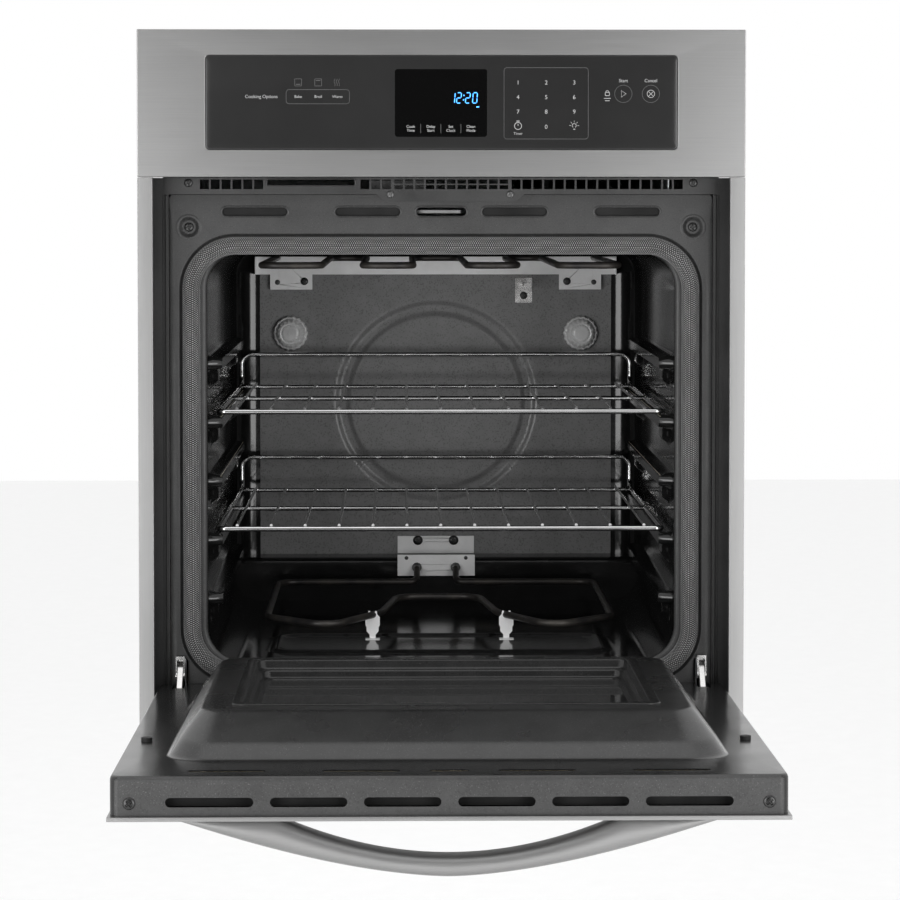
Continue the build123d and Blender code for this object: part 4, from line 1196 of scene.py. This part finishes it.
beads = []
for side in (-1, 1):
    for y in (90.0, 230.0, 370.0, 510.0):
        lay = lambda a, b, h, s=side: (s * (280.0 + h - 0.1), a, b)
        beads.append(dome((y - 9, y + 9), (70, 640), 2.4, lay))
for x in (-190.0, -60.0, 70.0, 200.0):
    beads.append(dome((x - 9, x + 9), (60, 520), 2.4, lambda a, b, h: (a, b, 704.9 + h)))
for x in (-200.0, 0.0, 200.0):
    beads.append(dome((x - 9, x + 9), (60, 480), 2.4, lambda a, b, h: (a, 575.9 + h, b)))
fitting("casing_beads", beads, "galvanised", "galvanised")

louvres = []
for x in range(-40, 241, 20):
    lip_loops = []
    for z, reach in ((610.0, 0.5), (614.0, 3.4), (640.0, 4.2), (666.0, 3.4), (670.0, 0.5)):
        arc = [math.radians(a) for a in range(0, 91, 15)]
        outer = [(x + 3.2 - reach * 1.6 * math.cos(a), 576.0 + reach * math.sin(a), z) for a in arc]
        under, thin = reach * 1.6 - 0.6, reach - 0.4
        inner = [(x + 3.2 - under * math.cos(a), 576.0 + thin * math.sin(a), z) for a in arc]
        lip_loops.append(outer + inner[::-1])
    louvres.append(bridge(lip_loops, cap_first=True, cap_last=True))
fitting("back_louvres", louvres, "galvanised", "galvanised")

REAR_Y = 576.0
fixings = [(x, z) for x in (-265.0, -90.0, 90.0, 265.0) for z in (14.0, 560.0, 694.0)]
fixings += [(x, z) for z in (200.0, 400.0) for x in (-265.0, 265.0)]
fixings = [hex_head(at, REAR_Y, 4.0) for at in fixings]
fixings += [hex_head((x, z), 606.0, 3.2) for x in (-253.0, -157.0) for z in (607.0, 683.0)]
fitting("casing_screws", fixings, "bright", "bright_steel")
side_fixings = []
for side in (-1, 1):
    for y in (30.0, 300.0, 560.0):
        for z in (16.0, 688.0):
            head, theirs = hex_head((y, z), 0.0, 4.0)
            side_fixings.append(([(side * (280.0 + h), a, b) for a, h, b in head], theirs))
fitting("casing_side_screws", side_fixings, "bright", "bright_steel")


# ---- floor, light and camera
def stage_box(name, x, y, z, look):
    mesh = meshed(name, *prism(oblong(x, y), *z, as_drawn))
    mesh.materials.append(look)
    placed(name, mesh)


FLOOR_Z = -600.0
pale = moulded("pale_floor", 0.93, 0.95, 0.8, 40.0, 0.0002)
stage_box("floor", (-9000, 9000), (-9000, 9000), (FLOOR_Z - 20, FLOOR_Z), pale)
stage_box("shelf", (-272, 272), (14, 560), (-14, -0.2), pale)

world = bpy.data.worlds.new("studio")
bpy.context.scene.world = world
world.use_nodes = True
def light_sky(tree):
    """White all round, falling dark in a cone behind the camera; the camera itself sees white."""
    def add(kind, **values):
        node = tree.nodes.new("ShaderNode" + kind)
        for key, value in values.items():
            socket = node.inputs[key.replace("_", " ")]
            if isinstance(value, bpy.types.NodeSocket):
                tree.links.new(value, socket)
            else:
                socket.default_value = value
        return node

    way = add("SeparateXYZ", Vector=add("TexCoord").outputs["Generated"]).outputs["Y"]
    cone = {"From_Min": -0.97, "From_Max": -0.72, "To_Min": 0.08, "To_Max": 1.0}
    shade = add("MapRange", Value=way, **cone).outputs[0]
    seen = add("LightPath").outputs["Is Camera Ray"]
    power = add("MapRange", Value=seen, To_Min=shade, To_Max=1.0).outputs[0]
    lit = tree.nodes["Background"].inputs
    lit["Color"].default_value = (1.0, 1.0, 1.0, 1.0)
    tree.links.new(power, lit["Strength"])


light_sky(world.node_tree)


def softbox(name, place, target, size, power):
    light = bpy.data.lights.new(name, "AREA")
    light.shape = "RECTANGLE"
    light.size, light.size_y = size
    light.energy = power
    obj = placed(name, light)
    obj.location = place
    obj.rotation_euler = (Vector(target) - Vector(place)).to_track_quat("-Z", "Y").to_euler()


for name, x in (("left", -1.6), ("right", 1.6)):
    softbox(name, (x, -2.8, 0.3), (0.0, 0.3, 0.4), (1.5, 1.6), 37.0)
softbox("top", (0.0, -0.3, 2.6), (0.0, 0.1, 0.0), (2.4, 2.0), 10.0)

camera = placed("camera", bpy.data.cameras.new("camera"))
bpy.context.scene.camera = camera
camera.data.sensor_width = 36.0
camera.data.lens = 115.85
camera.data.shift_y = -0.15
camera.location = (-0.0397, -2.9175, 0.5591)
camera.rotation_euler = (math.radians(90.0 - 2.29), 0.0, math.radians(-0.953))

bpy.context.scene.view_settings.view_transform = "Standard"
